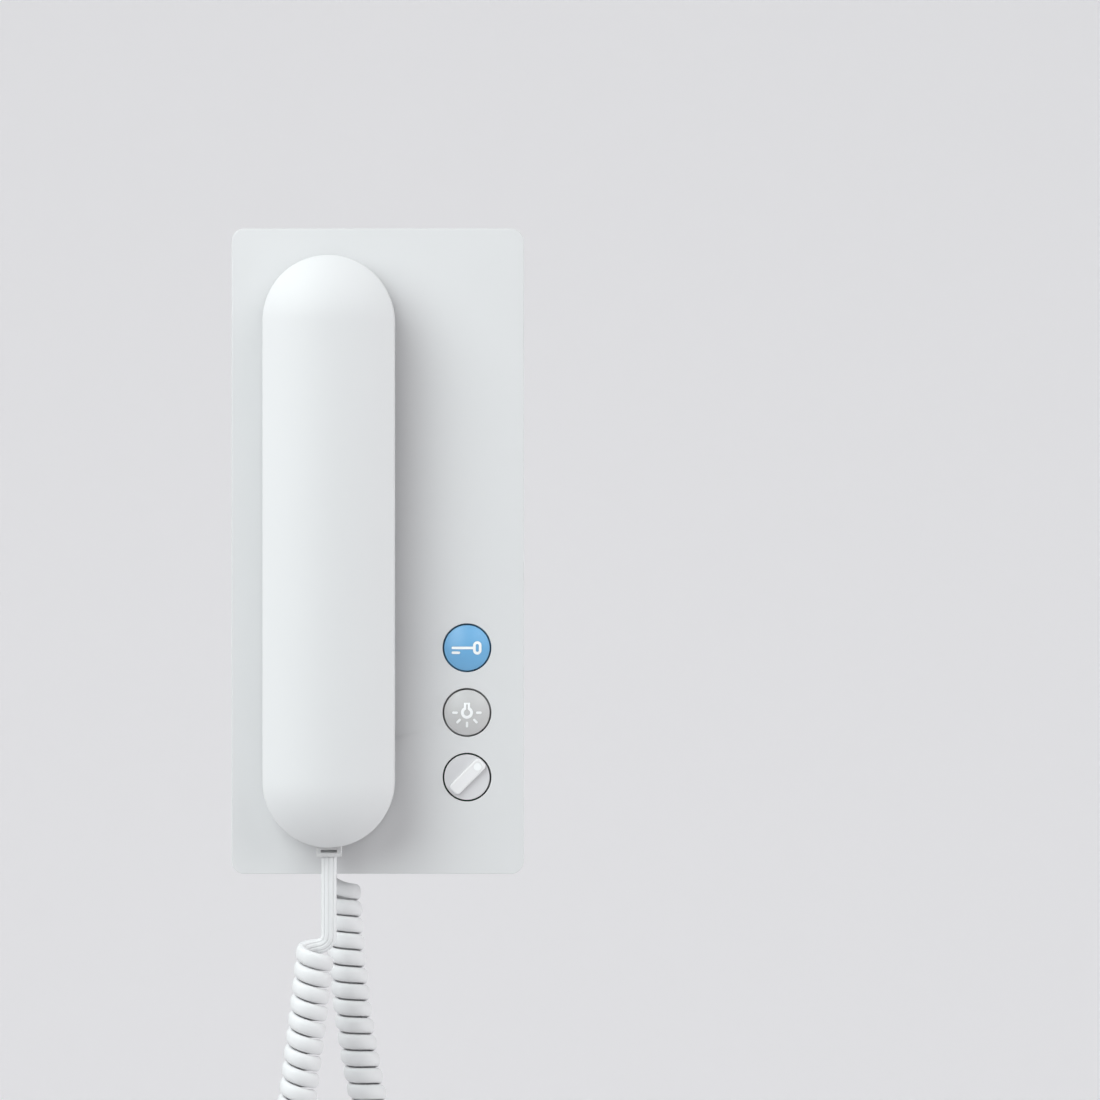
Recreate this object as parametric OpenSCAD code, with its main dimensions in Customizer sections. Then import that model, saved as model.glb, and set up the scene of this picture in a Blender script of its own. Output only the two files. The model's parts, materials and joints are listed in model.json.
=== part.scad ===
// Audio intercom handset: a flat wall station with two keys and a rotary control,
// and a handset on a curly cord. Millimetres, +Z up, the wall at Y = 0 and the front
// towards -Y. The origin is the middle of the face that lies on the wall.

/* [Housing] */
// Width of the wall station
housing_w = 91; // [86:0.5:110]
// Height of the wall station
housing_h = 201; // [198:1:230]
// Depth of the wall station, from the wall to its front face
housing_d = 20; // [20:0.5:26]
// Radius of the four corners seen from the front
corner_r = 4; // [3:0.5:8]
// Wall thickness of the front cover
wall = 2; // [1.6:0.1:2.6]
// Floor thickness of the wall base
floor_t = 2; // [1.6:0.1:3]
// Height of the wall base's rim above its floor
rim_h = 4; // [2:0.5:6]
// Thickness of the wall base's rim
rim_t = 1.5; // [1.2:0.1:2]
// Shadow gap between the wall and the front cover's edge
shadow_gap = 1; // [0.5:0.1:1.5]

/* [Wall fixing] */
// Distance of the wall screws in from the station's sides
screw_inset_x = 9.5; // [8:0.5:13]
// Distance of the wall screws in from the station's ends
screw_inset_y = 10.5; // [9.5:0.5:16]
// Radius of the wall screw holes
wall_hole_r = 2.2; // [1.8:0.1:2.6]
// Width of the cable entry
entry_w = 26; // [18:1:28]
// Height of the cable entry
entry_h = 22; // [14:1:24]
// Middle of the cable entry, to the right of the station's middle
entry_x = 21; // [20:1:24]
// Middle of the cable entry, above the station's middle
entry_y = 62; // [58:1:70]

/* [Handset] */
// Width of the handset
handset_w = 40.6; // [38:0.2:46]
// Distance from the handset's ends to the station's ends
handset_margin = 9; // [5:0.5:12]
// Thickness of the handset, from its flat back to its crown
handset_d = 22.5; // [21:0.5:28]
// Middle of the handset, in from the station's left side
handset_inset = 30.7; // [26:0.1:32]
// Space between the station's front face and the handset's back
handset_gap = 3.5; // [3:0.1:3.9]
// Radius of the crowned front
crown_r = 32.5; // [30:0.5:60]
// Radius of the edge between the crown and the sides
edge_r = 0.8; // [0.6:0.1:3]
// Wall thickness of the handset's shells
shell_t = 1.8; // [1.4:0.1:2.2]
// Height of the parting line above the handset's back
parting_h = 10; // [9:0.5:12]
// Radius of the ear cap and the mouth cap
cap_r = 15; // [14.6:0.1:16]
// Height of the ear cap and the mouth cap above the handset's back
cap_h = 7.5; // [6.5:0.1:8]
// Distance of the ear cap's and the mouth cap's middle in from the middle of the handset's round end
cap_inset = 4.2; // [3.5:0.1:6]
// Slope of the lift-off path above the horizontal, in degrees
lift_slope = 30; // [25:1:35]

/* [Keys and control] */
// Middle of the keys, in from the station's right side
key_inset = 17.7; // [16:0.1:20]
// Middle of the knob, above the station's lower end
key_rise = 30.1; // [28:0.1:34]
// Distance from one key to the next
key_pitch = 20.15; // [19:0.05:21]
// Diameter of the holes for the keys and the knob
key_hole_d = 15.2; // [14.4:0.1:16]
// Gap between a key and its hole
key_gap = 0.5; // [0.3:0.05:0.6]
// Rise of a key's domed top
key_dome = 1.8; // [0.3:0.1:2.2]
// Travel of a key
key_travel = 1.2; // [0.8:0.1:1.4]
// Depth of the inlaid symbols below the key's rim
inlay_t = 0.3; // [0.2:0.1:0.6]
// Width of the knob's raised bar
bar_w = 4; // [3:0.1:5]
// Height of the knob's raised bar
bar_h = 1.5; // [1:0.1:2.5]
// Radius of the knob's marker dot
dot_r = 1.2; // [0.8:0.05:1.5]
// Radius of the knob's shaft
shaft_r = 3; // [2.5:0.1:3.2]

/* [Boards and switches] */
// Distance of the board's back face behind the front cover's inside
board_drop = 12; // [11.6:0.1:13]
// Thickness of the board
board_t = 1.6; // [1:0.1:1.8]
// Radius of the ringer speaker
speaker_r = 16; // [14:0.1:17]
// Turn of the hook lever over the handset's whole lift, in degrees
hook_turn = 8; // [5:1:9]
// Radius of the hook pin
hook_pin_r = 1; // [0.8:0.1:1.2]
// Radius of the self-tapping screws
screw_r = 1.4; // [1.2:0.1:1.5]
// Radius of the screw heads
head_r = 2.6; // [2.3:0.1:2.7]
// Height of the screw heads
head_h = 1.6; // [1.2:0.1:1.8]

/* [Plugs and cord] */
// Width of the modular plugs
plug_w = 7.8; // [7.4:0.1:8]
// Thickness of the modular plugs
plug_t = 5.8; // [5.4:0.1:6]
// Length of the modular plugs
plug_l = 11.6; // [10:0.1:12]
// How far the handset's plug stands out of the handset
plug_out = 3.1; // [2.6:0.1:3.6]
// Distance of the base jack's middle to the left of the handset's
jack_shift = 0.5; // [0:0.1:2]
// Width of the flat cord
cord_w = 4.7; // [4:0.1:4.8]
// Thickness of the flat cord
cord_t = 2.4; // [2:0.1:2.6]
// Outer diameter of the curls
curl_d = 12; // [10:0.1:13]
// Distance from one curl to the next on a straight stretch
curl_pitch = 5.2; // [5.1:0.05:6]

/* [Hidden] */
$fn = 64;

// Clearances
slide_gap = 0.3;    // between bodies that move past each other
fit_gap = 0.05;     // between pieces that are fitted together
run_gap = 0.08;     // between a shaft or plunger and its bore
cover_gap = 0.25;   // between the front cover and the wall base
over = 1;           // how far a cut runs past a face

// Heights above the wall
cover_under = housing_d - wall;
board_w0 = cover_under - board_drop;
board_top = board_w0 + board_t;
back_w = housing_d + handset_gap;
crown_w = back_w + handset_d;
parting_w = back_w + parting_h;
cap_face = back_w - cap_h;
cup_floor = cap_face - slide_gap;
plate_in = back_w + shell_t;

// Middles to the right of the station's middle
handset_x = handset_inset - housing_w / 2;
key_x = housing_w / 2 - key_inset;
jack_x = handset_x - jack_shift;

// The handset's ends and caps
handset_l = housing_h - 2 * handset_margin;
half_w = handset_w / 2;
end_y = handset_l / 2 - half_w;
cap_y = end_y - cap_inset;
cap_floor_t = 1.5;
cap_wall = 1.8;
cup_r = cap_r + 0.4;
cup_wall = 1.5;
cup_rise = (housing_d - cap_face) * tan(lift_slope) + 0.5;

// The keys, from the top down
key_y = [for (i = [2:-1:0]) key_rise - housing_h / 2 + i * key_pitch];
key_r = key_hole_d / 2 - key_gap;
flange_r = key_r + 1.4;
flange_t = 1.2;
flange_w = cover_under - slide_gap - flange_t;
switch_h = 3.6;
switch_size = 6;
switch_floor = 0.6;
plunger_r = 1.7;
plunger_foot = board_top + switch_floor + key_travel + 0.2;
plunger_top = board_top + switch_h + key_travel + 0.7;
control_h = 5.3;
knob_face = housing_d - 0.3;

// The hang lug on the front cover, below the ear cap, and its slot in the handset
lug_y = cap_y - 22;
lug_h = 3.5;
lug_w = 8;
lug_reach = 7;
lug_gap = 0.4;

// The hook lever: a seesaw on a pin under the front cover
hook_y = lug_y - 23;
hook_w = cover_under - 4.5;
hook_t = 4;
hook_arm = 17.5;
hook_finger = 3;
hook_tail = 11;
hook_half = 1.3;
hook_hub_r = 2.6;
hook_switch_h = 2.6;
hook_plunger_y = hook_y - 9;
hook_plunger_r = 1.2;
hook_press = (hook_y - hook_plunger_y) * sin(hook_turn);
hook_plunger_foot = board_top + hook_press + 0.15;
hook_under = hook_w - hook_half - slide_gap;

// The board and what it stands on
board_left = -30;
board_right = 32;
board_bottom = 14.5 - housing_h / 2;
board_upper = 40;
foot_left = jack_x - 9;
foot_right = jack_x + 11;
foot_bottom = wall + 2.5 - housing_h / 2;
posts = [[-26, 36], [28.5, 22], [-26, board_bottom + 6], [28.5, board_bottom + 4.5]];
post_r = 3.2;
hole_gap = 0.2;

// The cover screw, in the bottom wall
cover_screw_x = 16;
cover_screw_w = 7;
pad_half = 4.5;
pad_t = 3;
head_sink = 0.6;
pad_y = wall + pad_t - housing_h / 2;

// The catches at the top: tabs on the wall base in windows of the cover
catch_x = 25;
catch_size = [8, 1.8, 1.6];
catch_gap = 0.5;

// Jacks and plugs
jack_wall = 1.7;
jack_l = 10.2;
plug_gap = 0.1;
jack_w = plug_w + 2 * (plug_gap + jack_wall);
base_plug_w = board_top + jack_wall + plug_gap + plug_t / 2;
plug_free = 5.3;
base_plug_y = 0.6 - housing_h / 2;
base_jack_y = base_plug_y + plug_free;
handset_plug_w = back_w + 7.5;
handset_end = -handset_l / 2;
handset_plug_y = handset_end - plug_out;
handset_jack_y = handset_plug_y + plug_free;
jack_depth = plug_l - plug_free + 0.5;
contact_r = 0.25;
contact_pitch = 1.25;

// The ringer speaker, midway between the hook lever's tail and the mouth cap's cup
gasket_t = 0.8;
speaker_y = (hook_y - hook_tail - cap_y + cup_r + cup_wall + cup_rise) / 2;
slot_l = 16;
slot_w = 1.6;
slot_pitch = 4;
collar_r = speaker_r + 0.2;
collar_t = 1.4;
collar_w = cover_under - 4.5;

// The handset's screws and weight
handset_screw_y = [hook_y + 6, 21 - cap_y];
boss_r = 3.2;
pad_r = 4.2;
seat_h = 2.5;
weight_w = 18;
weight_t = 5;
weight_l = handset_screw_y[0] - handset_screw_y[1] - 2 * pad_r - 11.6;
weight_y = (handset_screw_y[0] + handset_screw_y[1]) / 2;

// Capsules
earpiece_r = 12.6;
earpiece_h = 7.8;
ring_t = 0.7;
mic_r = 4.85;
mic_h = 5;
boot_t = 1.6;

// Wire routes, across, up and above the wall: round numbers chosen by hand
wire_r = 0.8;
earpiece_rise = cap_y - handset_jack_y - jack_l;
earpiece_route = [
    [3, 0, 0], [3, 6, 0], [12, 18, 1], [13, 60, 1], [12, earpiece_rise - 36, 1],
    [6, earpiece_rise - 10, 1], [2, earpiece_rise - 2, 0], [0, earpiece_rise, -3.4],
];
microphone_route = [[-3, 0, 0], [-3, 4, 0], [-6, 9, -2], [-3, 13, -5], [0, 12, -7]];
ringer_route = [[0, 0, 0], [0, 3, 0], [1, 6, -1], [2, 8, -3]];

// Route of the middle of the curls, from the handset to the base: round numbers chosen by hand
curl_route = [
    [-18.8, -35.5, -123], [-22, -32.5, -150], [-27, -28, -185], [-34, -22, -220],
    [-36, -18, -245], [-26, -14, -266], [-8, -10, -268], [4, -7.5, -250],
    [5, -7, -225], [0, -7, -190], [-6.5, -7, -155], [-9.5, -7.4, -132],
    [-11.6, -7.8, -106.5],
];
curl_rings = 8;
route_steps = 400;
last_share = 0.625; // of a turn left off at the base, where the lead joins from the front

// Turns bench coordinates, across, up and off the wall, into the standing part
module stand() rotate([90, 0, 0]) children();

// Moves to a place given across, up and off the wall
module at(x, y, w) translate([x, y, w]) children();

// A prism along X from an outline given as up and off the wall
module side_prism(width) rotate([90, 0, 90]) linear_extrude(width, center = true) children();

// A cylinder along the station's height, upwards from where it stands
module upright(r, h) rotate([-90, 0, 0]) cylinder(r = r, h = h);

// A block that is centred across and up, and stands on its place
module block(size) translate([-size[0] / 2, -size[1] / 2, 0]) cube(size);

// A flat ring
module ring(r_out, r_in, h) {
    difference() {
        cylinder(r = r_out, h = h);
        translate([0, 0, -over]) cylinder(r = r_in, h = h + 2 * over);
    }
}

// A rectangle with round corners
module rounded_rect(w, h, r) {
    square([w - 2 * r, h], center = true);
    square([w, h - 2 * r], center = true);
    for (x = [-1, 1], y = [-1, 1])
        translate([x * (w / 2 - r), y * (h / 2 - r)]) circle(r);
}

// A round-ended slot between two heights, along Y
module tall_slot(r, rise) {
    circle(r);
    translate([0, rise]) circle(r);
    translate([-r, 0]) square([2 * r, rise]);
}

// A straight stroke with round ends
module stroke(from, to, width) {
    span = to - from;
    translate(from) circle(d = width);
    translate(to) circle(d = width);
    translate(from) rotate(atan2(span[1], span[0])) translate([0, -width / 2]) square([norm(span), width]);
}

// A screw along +Z with its head at the top and a cross recess
module screw(shank) {
    translate([0, 0, -shank]) cylinder(r = screw_r, h = shank);
    difference() {
        cylinder(r = head_r, h = head_h);
        for (a = [0, 90]) rotate(a) at(0, 0, head_h / 2) block([head_r * 1.2, 0.6, head_h]);
    }
}

// Half of the handset's section: straight side, edge radius, crown, closed on the middle line
function half_section(half, top, crown, edge, foot) =
    let (
        middle = top - crown,
        tilt = asin((half - edge) / (crown - edge)),
        edge_w = middle + (crown - edge) * cos(tilt)
    )
    concat(
        [[0, foot], [half, foot]],
        [for (i = [0:4]) let (a = i / 4 * (90 - tilt))
            [half - edge + edge * cos(a), edge_w + edge * sin(a)]],
        [for (i = [1:16]) let (a = tilt * (1 - i / 16)) [crown * sin(a), middle + crown * cos(a)]]
    );

// Sweeps half a section round the handset's long, round-ended outline
module handset_sweep(half) {
    mirrored = [for (i = [len(half) - 1:-1:0]) [-half[i][0], half[i][1]]];
    rotate([90, 0, 0]) linear_extrude(2 * end_y, center = true) polygon(concat(half, mirrored));
    for (a = [0, 180]) rotate(a) translate([0, end_y, 0]) rotate_extrude(angle = 180) polygon(half);
}

// The handset's long, round-ended outline as a solid between two heights
module handset_slab(half, from, to) {
    handset_sweep([[0, from], [half, from], [half, to], [0, to]]);
}

// Openings at the handset's lower end: the plug's way in, and the jack's room
module handset_plug_way() {
    at(0, handset_end, handset_plug_w - plug_t / 2 - slide_gap)
        block([plug_w + 2 * slide_gap, 2 * (handset_jack_y - handset_end), plug_t + 2 * slide_gap]);
    at(0, handset_jack_y + jack_l / 2 - fit_gap, handset_plug_w - jack_height() / 2 - fit_gap)
        block([jack_w + 2 * fit_gap, jack_l + 2 * fit_gap, jack_height() + 2 * fit_gap]);
}

// Outer height of a jack
function jack_height() = plug_t + 2 * (plug_gap + jack_wall);

// A jack that opens downwards, with its mouth at the origin and the plug's middle on the axis
module jack() {
    difference() {
        at(0, jack_l / 2, -jack_height() / 2) block([jack_w, jack_l, jack_height()]);
        at(0, jack_depth / 2 - over / 2, -plug_t / 2 - plug_gap)
            block([plug_w + 2 * plug_gap, jack_depth + over, plug_t + 2 * plug_gap]);
        for (i = [0:3]) at((i - 1.5) * contact_pitch, -over, -plug_t / 2 - 0.6)
            upright(contact_r + fit_gap, jack_l + 2 * over);
    }
}

// Four contact wires that lie along a jack's back wall
module jack_contacts() {
    for (i = [0:3]) at((i - 1.5) * contact_pitch, 1, -plug_t / 2 - 0.6) upright(contact_r, jack_l - 1);
}

// A modular plug with its cord end at the origin, a cord notch and a latch
module plug() {
    lip = 0.7;
    notch = [5, 0.8, 2.4];
    latch_t = 0.5;
    difference() {
        side_prism(plug_w) polygon([
            [0, -plug_t / 2 + lip], [0, plug_t / 2 - lip], [lip, plug_t / 2],
            [plug_l, plug_t / 2], [plug_l, -plug_t / 2 + 1], [plug_l - 1, -plug_t / 2 + latch_t],
            [lip, -plug_t / 2 + latch_t],
        ]);
        at(0, 1.8, plug_t / 2 - notch[2] / 2) block(notch);
    }
}

// The key symbol: a shank, a loose bar for its bit, and an oval bow
module key_symbol(grow) {
    line = 0.8 + 2 * grow;
    left = -4.4;
    bit_drop = 1.5;
    stroke([left, 0], [2, 0], line);
    stroke([left, -bit_drop], [-2.5, -bit_drop], line);
    translate([3.22, 0]) difference() {
        tall_bow(1.32 + grow, 0.75);
        tall_bow(0.48 - grow, 0.75);
    }
}

// An upright oval: two round ends and straight flanks
module tall_bow(r, half) {
    translate([0, -half]) tall_slot(r, 2 * half);
}

// The lamp symbol: a hanging bulb with a slotted neck, and five rays
module lamp_symbol(grow) {
    neck_w = 2;
    neck_top = 3.1;
    slot_half = 0.25;
    difference() {
        union() {
            circle(1.88 + grow);
            translate([-neck_w / 2 - grow, 1]) square([neck_w + 2 * grow, neck_top - 1 + grow]);
        }
        circle(0.98 - grow);
        translate([grow - slot_half, 0]) square([2 * (slot_half - grow), neck_top - 0.55 - grow]);
    }
    for (a = [180, 225, 270, 315, 360])
        stroke(3.2 * [cos(a), sin(a)], 4.25 * [cos(a), sin(a)], 0.75 + 2 * grow);
}

// The ball whose cap is a key's domed top, raised by lift
module dome_ball(lift) {
    ball_r = (key_r * key_r + key_dome * key_dome) / (2 * key_dome);
    translate([0, 0, housing_d + key_dome - ball_r]) sphere(r = ball_r + lift, $fn = 360);
}

// A key cap: domed top, retaining flange, stem, and a pocket for its symbol
module key_cap() {
    roof = 1.7;
    stem_r = 2;
    difference() {
        union() {
            intersection() {
                at(0, 0, flange_w) cylinder(r = key_r, h = housing_d + key_dome - flange_w);
                dome_ball(0);
            }
            at(0, 0, flange_w) cylinder(r = flange_r, h = flange_t);
        }
        at(0, 0, flange_w - over) cylinder(r = key_r - 1.2, h = housing_d - roof - flange_w + over);
        at(0, 0, housing_d - inlay_t) linear_extrude(inlay_t + key_dome + over) children();
    }
    at(0, 0, plunger_top) cylinder(r = stem_r, h = housing_d - roof - plunger_top + 0.2);
}

// A symbol inlaid in a key cap, a hair proud of the dome
module key_inlay() {
    intersection() {
        at(0, 0, housing_d - inlay_t) linear_extrude(inlay_t + key_dome + over) children();
        dome_ball(fit_gap);
    }
}

// A key's plunger, which slides in the key's switch
module key_plunger() {
    at(0, 0, plunger_foot) cylinder(r = plunger_r, h = plunger_top - plunger_foot);
}

// A push switch on the board, bored for its plunger
module key_switch() {
    difference() {
        at(0, 0, board_top) block([switch_size, switch_size, switch_h]);
        at(0, 0, board_top + switch_floor) cylinder(r = plunger_r + run_gap, h = switch_h);
    }
}

// The tray on the wall: floor, rim, board posts, catches and the cover screw's block
module wall_base() {
    outer_w = housing_w - 2 * (wall + cover_gap);
    outer_h = housing_h - 2 * (wall + cover_gap);
    base_r = corner_r - wall + 0.1;
    screw_x = housing_w / 2 - screw_inset_x;
    screw_y = housing_h / 2 - screw_inset_y;
    block_y = pad_y + slide_gap;
    block_l = 9;
    pad_way = 8;
    color("#D9DCDD") stand() difference() {
        union() {
            difference() {
                linear_extrude(floor_t + rim_h) rounded_rect(outer_w, outer_h, base_r);
                at(0, 0, floor_t) linear_extrude(rim_h + over)
                    square([outer_w - 2 * rim_t, outer_h - 2 * rim_t], center = true);
            }
            for (p = posts) at(p[0], p[1], floor_t - fit_gap)
                cylinder(r = post_r, h = board_w0 - floor_t + fit_gap);
            at(cover_screw_x, block_y + block_l / 2, floor_t - fit_gap)
                block([2 * pad_half, block_l, cover_screw_w + 2]);
            for (x = [-catch_x, catch_x]) at(x, outer_h / 2 + 0.3, floor_t + 1.2) block(catch_size);
        }
        for (x = [-1, 1], y = [-1, 1]) at(x * screw_x, y * screw_y, -over)
            cylinder(r = wall_hole_r, h = floor_t + 2 * over);
        at(entry_x, entry_y, -over) block([entry_w, entry_h, floor_t + 2 * over]);
        for (p = posts) at(p[0], p[1], floor_t + 0.4) cylinder(r = screw_r + fit_gap, h = board_w0);
        at(cover_screw_x, pad_y, cover_screw_w) upright(screw_r + fit_gap, block_l - 0.5);
        at(cover_screw_x, pad_y - pad_way / 2, floor_t)
            block([2 * (pad_half + slide_gap), pad_way + 2 * slide_gap, rim_h + over]);
    }
}

// The outline of a seat for an ear or mouth cap, grown by a wall
module cup_outline(grow) {
    tall_slot(cup_r + grow, cup_rise);
}

// The front cover: plate and side walls, handset cups, key holes, hang lug and hook bearings
module front_cover() {
    finger_way = hook_t + 1;
    lean = tan(lift_slope);
    cup_under = cup_floor - cup_wall;
    lug_root = cover_under + 0.5;
    color("#E6E9EA") stand() {
        difference() {
            union() {
                cover_shell();
                for (y = [-cap_y, cap_y]) at(handset_x, y, cup_under)
                    linear_extrude(housing_d - wall / 2 - cup_under) cup_outline(cup_wall);
                at(handset_x, speaker_y, collar_w)
                    ring(collar_r + collar_t, collar_r, cover_under - collar_w + wall / 2);
                for (x = [-1, 1]) at(handset_x + x * (hook_t / 2 + slide_gap + 1), 0, 0) hook_bearing();
                at(cover_screw_x, pad_y - pad_t / 2 - fit_gap, shadow_gap + floor_t + 0.5)
                    block([2 * pad_half, pad_t + 2 * fit_gap, cover_under - shadow_gap - floor_t]);
            }
            for (y = [-cap_y, cap_y]) at(handset_x, y, cup_floor) linear_extrude(housing_d) cup_outline(0);
            for (y = key_y) at(key_x, y, cover_under - over) cylinder(d = key_hole_d, h = wall + 2 * over);
            for (i = [-2:2]) at(handset_x, speaker_y + i * slot_pitch, cover_under - over)
                block([slot_l, slot_w, wall + 2 * over]);
            at(handset_x, hook_y + hook_arm - hook_finger / 2 - 0.8, cover_under - over)
                block([finger_way, hook_finger + 3, wall + 2 * over]);
            at(jack_x, -housing_h / 2, base_plug_w - plug_t / 2 - 0.6)
                block([plug_w + 2, 4 * wall, plug_t + 1.2]);
            at(cover_screw_x, -housing_h / 2 - over, cover_screw_w) {
                upright(screw_r + hole_gap, 2 * pad_t + wall);
                upright(head_r + hole_gap, head_h + head_sink + over);
            }
            for (x = [-catch_x, catch_x]) at(x, housing_h / 2 - wall, floor_t + 1.2 - catch_gap)
                block([catch_size[0] + 2 * catch_gap, 2.4, catch_size[2] + 2 * catch_gap]);
        }
        at(handset_x, 0, 0) side_prism(lug_w) polygon([
            [lug_y - lean, lug_root], [lug_y + lug_h, lug_root],
            [lug_y + lug_h, housing_d], [lug_y + lug_h + lug_reach * lean, housing_d + lug_reach],
            [lug_y + lug_reach * lean, housing_d + lug_reach], [lug_y, housing_d],
        ]);
    }
}

// The cover's plate and side walls
module cover_shell() {
    difference() {
        at(0, 0, shadow_gap) linear_extrude(housing_d - shadow_gap)
            rounded_rect(housing_w, housing_h, corner_r);
        at(0, 0, shadow_gap - over) linear_extrude(cover_under - shadow_gap + over)
            rounded_rect(housing_w - 2 * wall, housing_h - 2 * wall, corner_r - wall + 0.1);
    }
}

// One bearing plate for the hook pin, hung from the cover
module hook_bearing() {
    side_prism(2) difference() {
        union() {
            translate([hook_y, hook_w]) circle(hook_hub_r);
            translate([hook_y - hook_hub_r, hook_w])
                square([2 * hook_hub_r, cover_under - hook_w + wall / 2]);
        }
        translate([hook_y, hook_w]) circle(hook_pin_r + fit_gap);
    }
}

// The screw that holds the cover's lower edge to the wall base
module cover_screw() {
    color("#9A9C9E") stand() at(cover_screw_x, head_h + head_sink - housing_h / 2, cover_screw_w)
        rotate([90, 0, 0]) screw(10);
}

// The circuit board, with a foot that carries the base jack
module main_board() {
    color("#2E6B45") stand() difference() {
        at(0, 0, board_w0) linear_extrude(board_t) polygon([
            [board_left, board_upper], [board_left, board_bottom], [foot_left, board_bottom],
            [foot_left, foot_bottom], [foot_right, foot_bottom], [foot_right, board_bottom],
            [board_right, board_bottom], [board_right, board_upper],
        ]);
        for (p = posts) at(p[0], p[1], board_w0 - over)
            cylinder(r = screw_r + hole_gap, h = board_t + 2 * over);
    }
}

// Four screws that hold the board on its posts
module board_screws() {
    color("#A6A8AA") stand() for (p = posts) at(p[0], p[1], board_top) screw(board_top - floor_t - 0.6);
}

// The chip that drives speech and ringing
module audio_chip() {
    chip_x = 17;
    chip_w = 7.5;
    chip_l = 10;
    chip_t = 2.4;
    color("#2A2B2D") stand() at(chip_x, 0, board_top) block([chip_w, chip_l, chip_t]);
}

// Three electrolytic capacitors
module capacitors() {
    can_r = 3.2;
    can_h = 7.5;
    can_x = 8;
    can_y = 15;
    can_pitch = 7.4;
    color("#3C4A66") stand() for (i = [0:2]) at(can_x + i * can_pitch, can_y, board_top)
        cylinder(r = can_r, h = can_h);
}

// The terminals for the house wiring
terminal_count = 6;
terminal_pitch = 3.8;
terminal_y = 34;
terminal_mid = 18;
terminal_x = [for (i = [0:terminal_count - 1])
    terminal_mid + (i - (terminal_count - 1) / 2) * terminal_pitch];
terminal_size = [terminal_count * terminal_pitch + 1.2, 10, 9.2];
terminal_screw_w = board_top + terminal_size[2] - 2.2;
terminal_screw_r = 1.4;
module terminal_block() {
    wire_hole_r = 1.3;
    color("#55606A") stand() difference() {
        at(terminal_mid, terminal_y, board_top) block(terminal_size);
        for (x = terminal_x) {
            at(x, terminal_y, board_top + 3.2) upright(wire_hole_r, terminal_size[1]);
            at(x, terminal_y, terminal_screw_w) cylinder(r = terminal_screw_r + fit_gap, h = 3);
        }
    }
}

// The clamp screws of the terminals
module terminal_screws() {
    color("#B9BBBC") stand() for (x = terminal_x) at(x, terminal_y, terminal_screw_w) difference() {
        cylinder(r = terminal_screw_r, h = 1.6);
        at(0, 0, 1) block([4, 0.5, 1]);
    }
}

// The jack for the cord in the station's lower edge
module base_jack() {
    color("#3A3B3D") stand() at(jack_x, base_jack_y, base_plug_w) jack();
}

module base_jack_contacts() {
    color("#C9A24A") stand() at(jack_x, base_jack_y, base_plug_w) jack_contacts();
}

module base_plug() {
    color("#D8DCDD") stand() at(jack_x, base_plug_y, base_plug_w) plug();
}

// A point on the cubic curve through a route's points, at u from 0 to 1
function route_at(route, u) =
    let (
        spans = len(route) - 1,
        k = min(floor(u * spans), spans - 1),
        f = u * spans - k,
        b = route[k],
        c = route[k + 1],
        a = k > 0 ? route[k - 1] : 2 * b - c,
        d = k < spans - 1 ? route[k + 2] : 2 * c - b
    )
    0.5 * (2 * b + f * (c - a) + f * f * (2 * a - 5 * b + 4 * c - d) + f * f * f * (3 * b - a - 3 * c + d));

function unit(v) = v / norm(v);

// Rings of points joined into one closed tube of triangles, and its end faces
module tube_of(rings) {
    sides = len(rings[0]);
    count = len(rings);
    points = [for (r = rings) each r];
    around = [for (i = [0:count - 2], k = [0:sides - 1]) let (m = (k + 1) % sides)
        each [[i * sides + k, (i + 1) * sides + k, (i + 1) * sides + m],
              [i * sides + k, (i + 1) * sides + m, i * sides + m]]];
    ends = [for (k = [1:sides - 2]) each [[0, k, k + 1],
        [(count - 1) * sides, (count - 1) * sides + k + 1, (count - 1) * sides + k]]];
    polyhedron(points = points, faces = concat(around, ends));
}

// A round wire along a route given relative to its start
module wire(route) {
    steps = 18;
    sides = 6;
    middle = [for (i = [0:steps]) route_at(route, i / steps)];
    along = [for (i = [0:steps]) unit(middle[min(i + 1, steps)] - middle[max(i - 1, 0)])];
    tube_of([for (i = [0:steps])
        let (p = unit(cross(along[i], [0.3, 0.1, 1])), q = cross(along[i], p))
        [for (k = [0:sides - 1]) let (a = -360 * k / sides)
            middle[i] + wire_r * (cos(a) * p + sin(a) * q)]]);
}

// The curls' middle line, its direction and how tightly it bends
curl_r = (curl_d - cord_t) / 2;
curl_u = [for (i = [0:route_steps]) i / route_steps];
curl_mid = [for (u = curl_u) route_at(curl_route, u)];
curl_step = [for (i = [0:route_steps - 1]) norm(curl_mid[i + 1] - curl_mid[i])];
curl_dir = [for (i = [0:route_steps]) unit(curl_mid[min(i + 2, route_steps)] - curl_mid[max(i - 2, 0)])];
curl_bend = [for (i = [0:route_steps - 1]) norm(curl_dir[i + 1] - curl_dir[i]) / curl_step[i]];

// Turns made up to each step: curls spread where the middle line bends
curl_turns = [for (i = [0:route_steps - 1]) curl_step[i] * (1 - curl_bend[i] * curl_d / 2) / curl_pitch];
curl_sum = [for (i = 0, t = 0; i <= route_steps;
    t = t + (i < route_steps ? curl_turns[i] : 0), i = i + 1) t];
curl_count = floor(curl_sum[route_steps]) - last_share;
curl_table = [for (i = [0:route_steps]) [curl_sum[i] * curl_count / curl_sum[route_steps], curl_u[i]]];

// A ring of the curls: its middle and the direction that its flat side faces
function curl_ring(turn) =
    let (
        u = lookup(turn, curl_table),
        along = unit(route_at(curl_route, min(u + 0.005, 1)) - route_at(curl_route, max(u - 0.005, 0))),
        rear = unit([0, 1, 0] - along[1] * along),
        side = cross(along, rear),
        out = cos(360 * turn) * rear - sin(360 * turn) * side
    )
    [route_at(curl_route, u) + curl_r * out, out];

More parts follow.
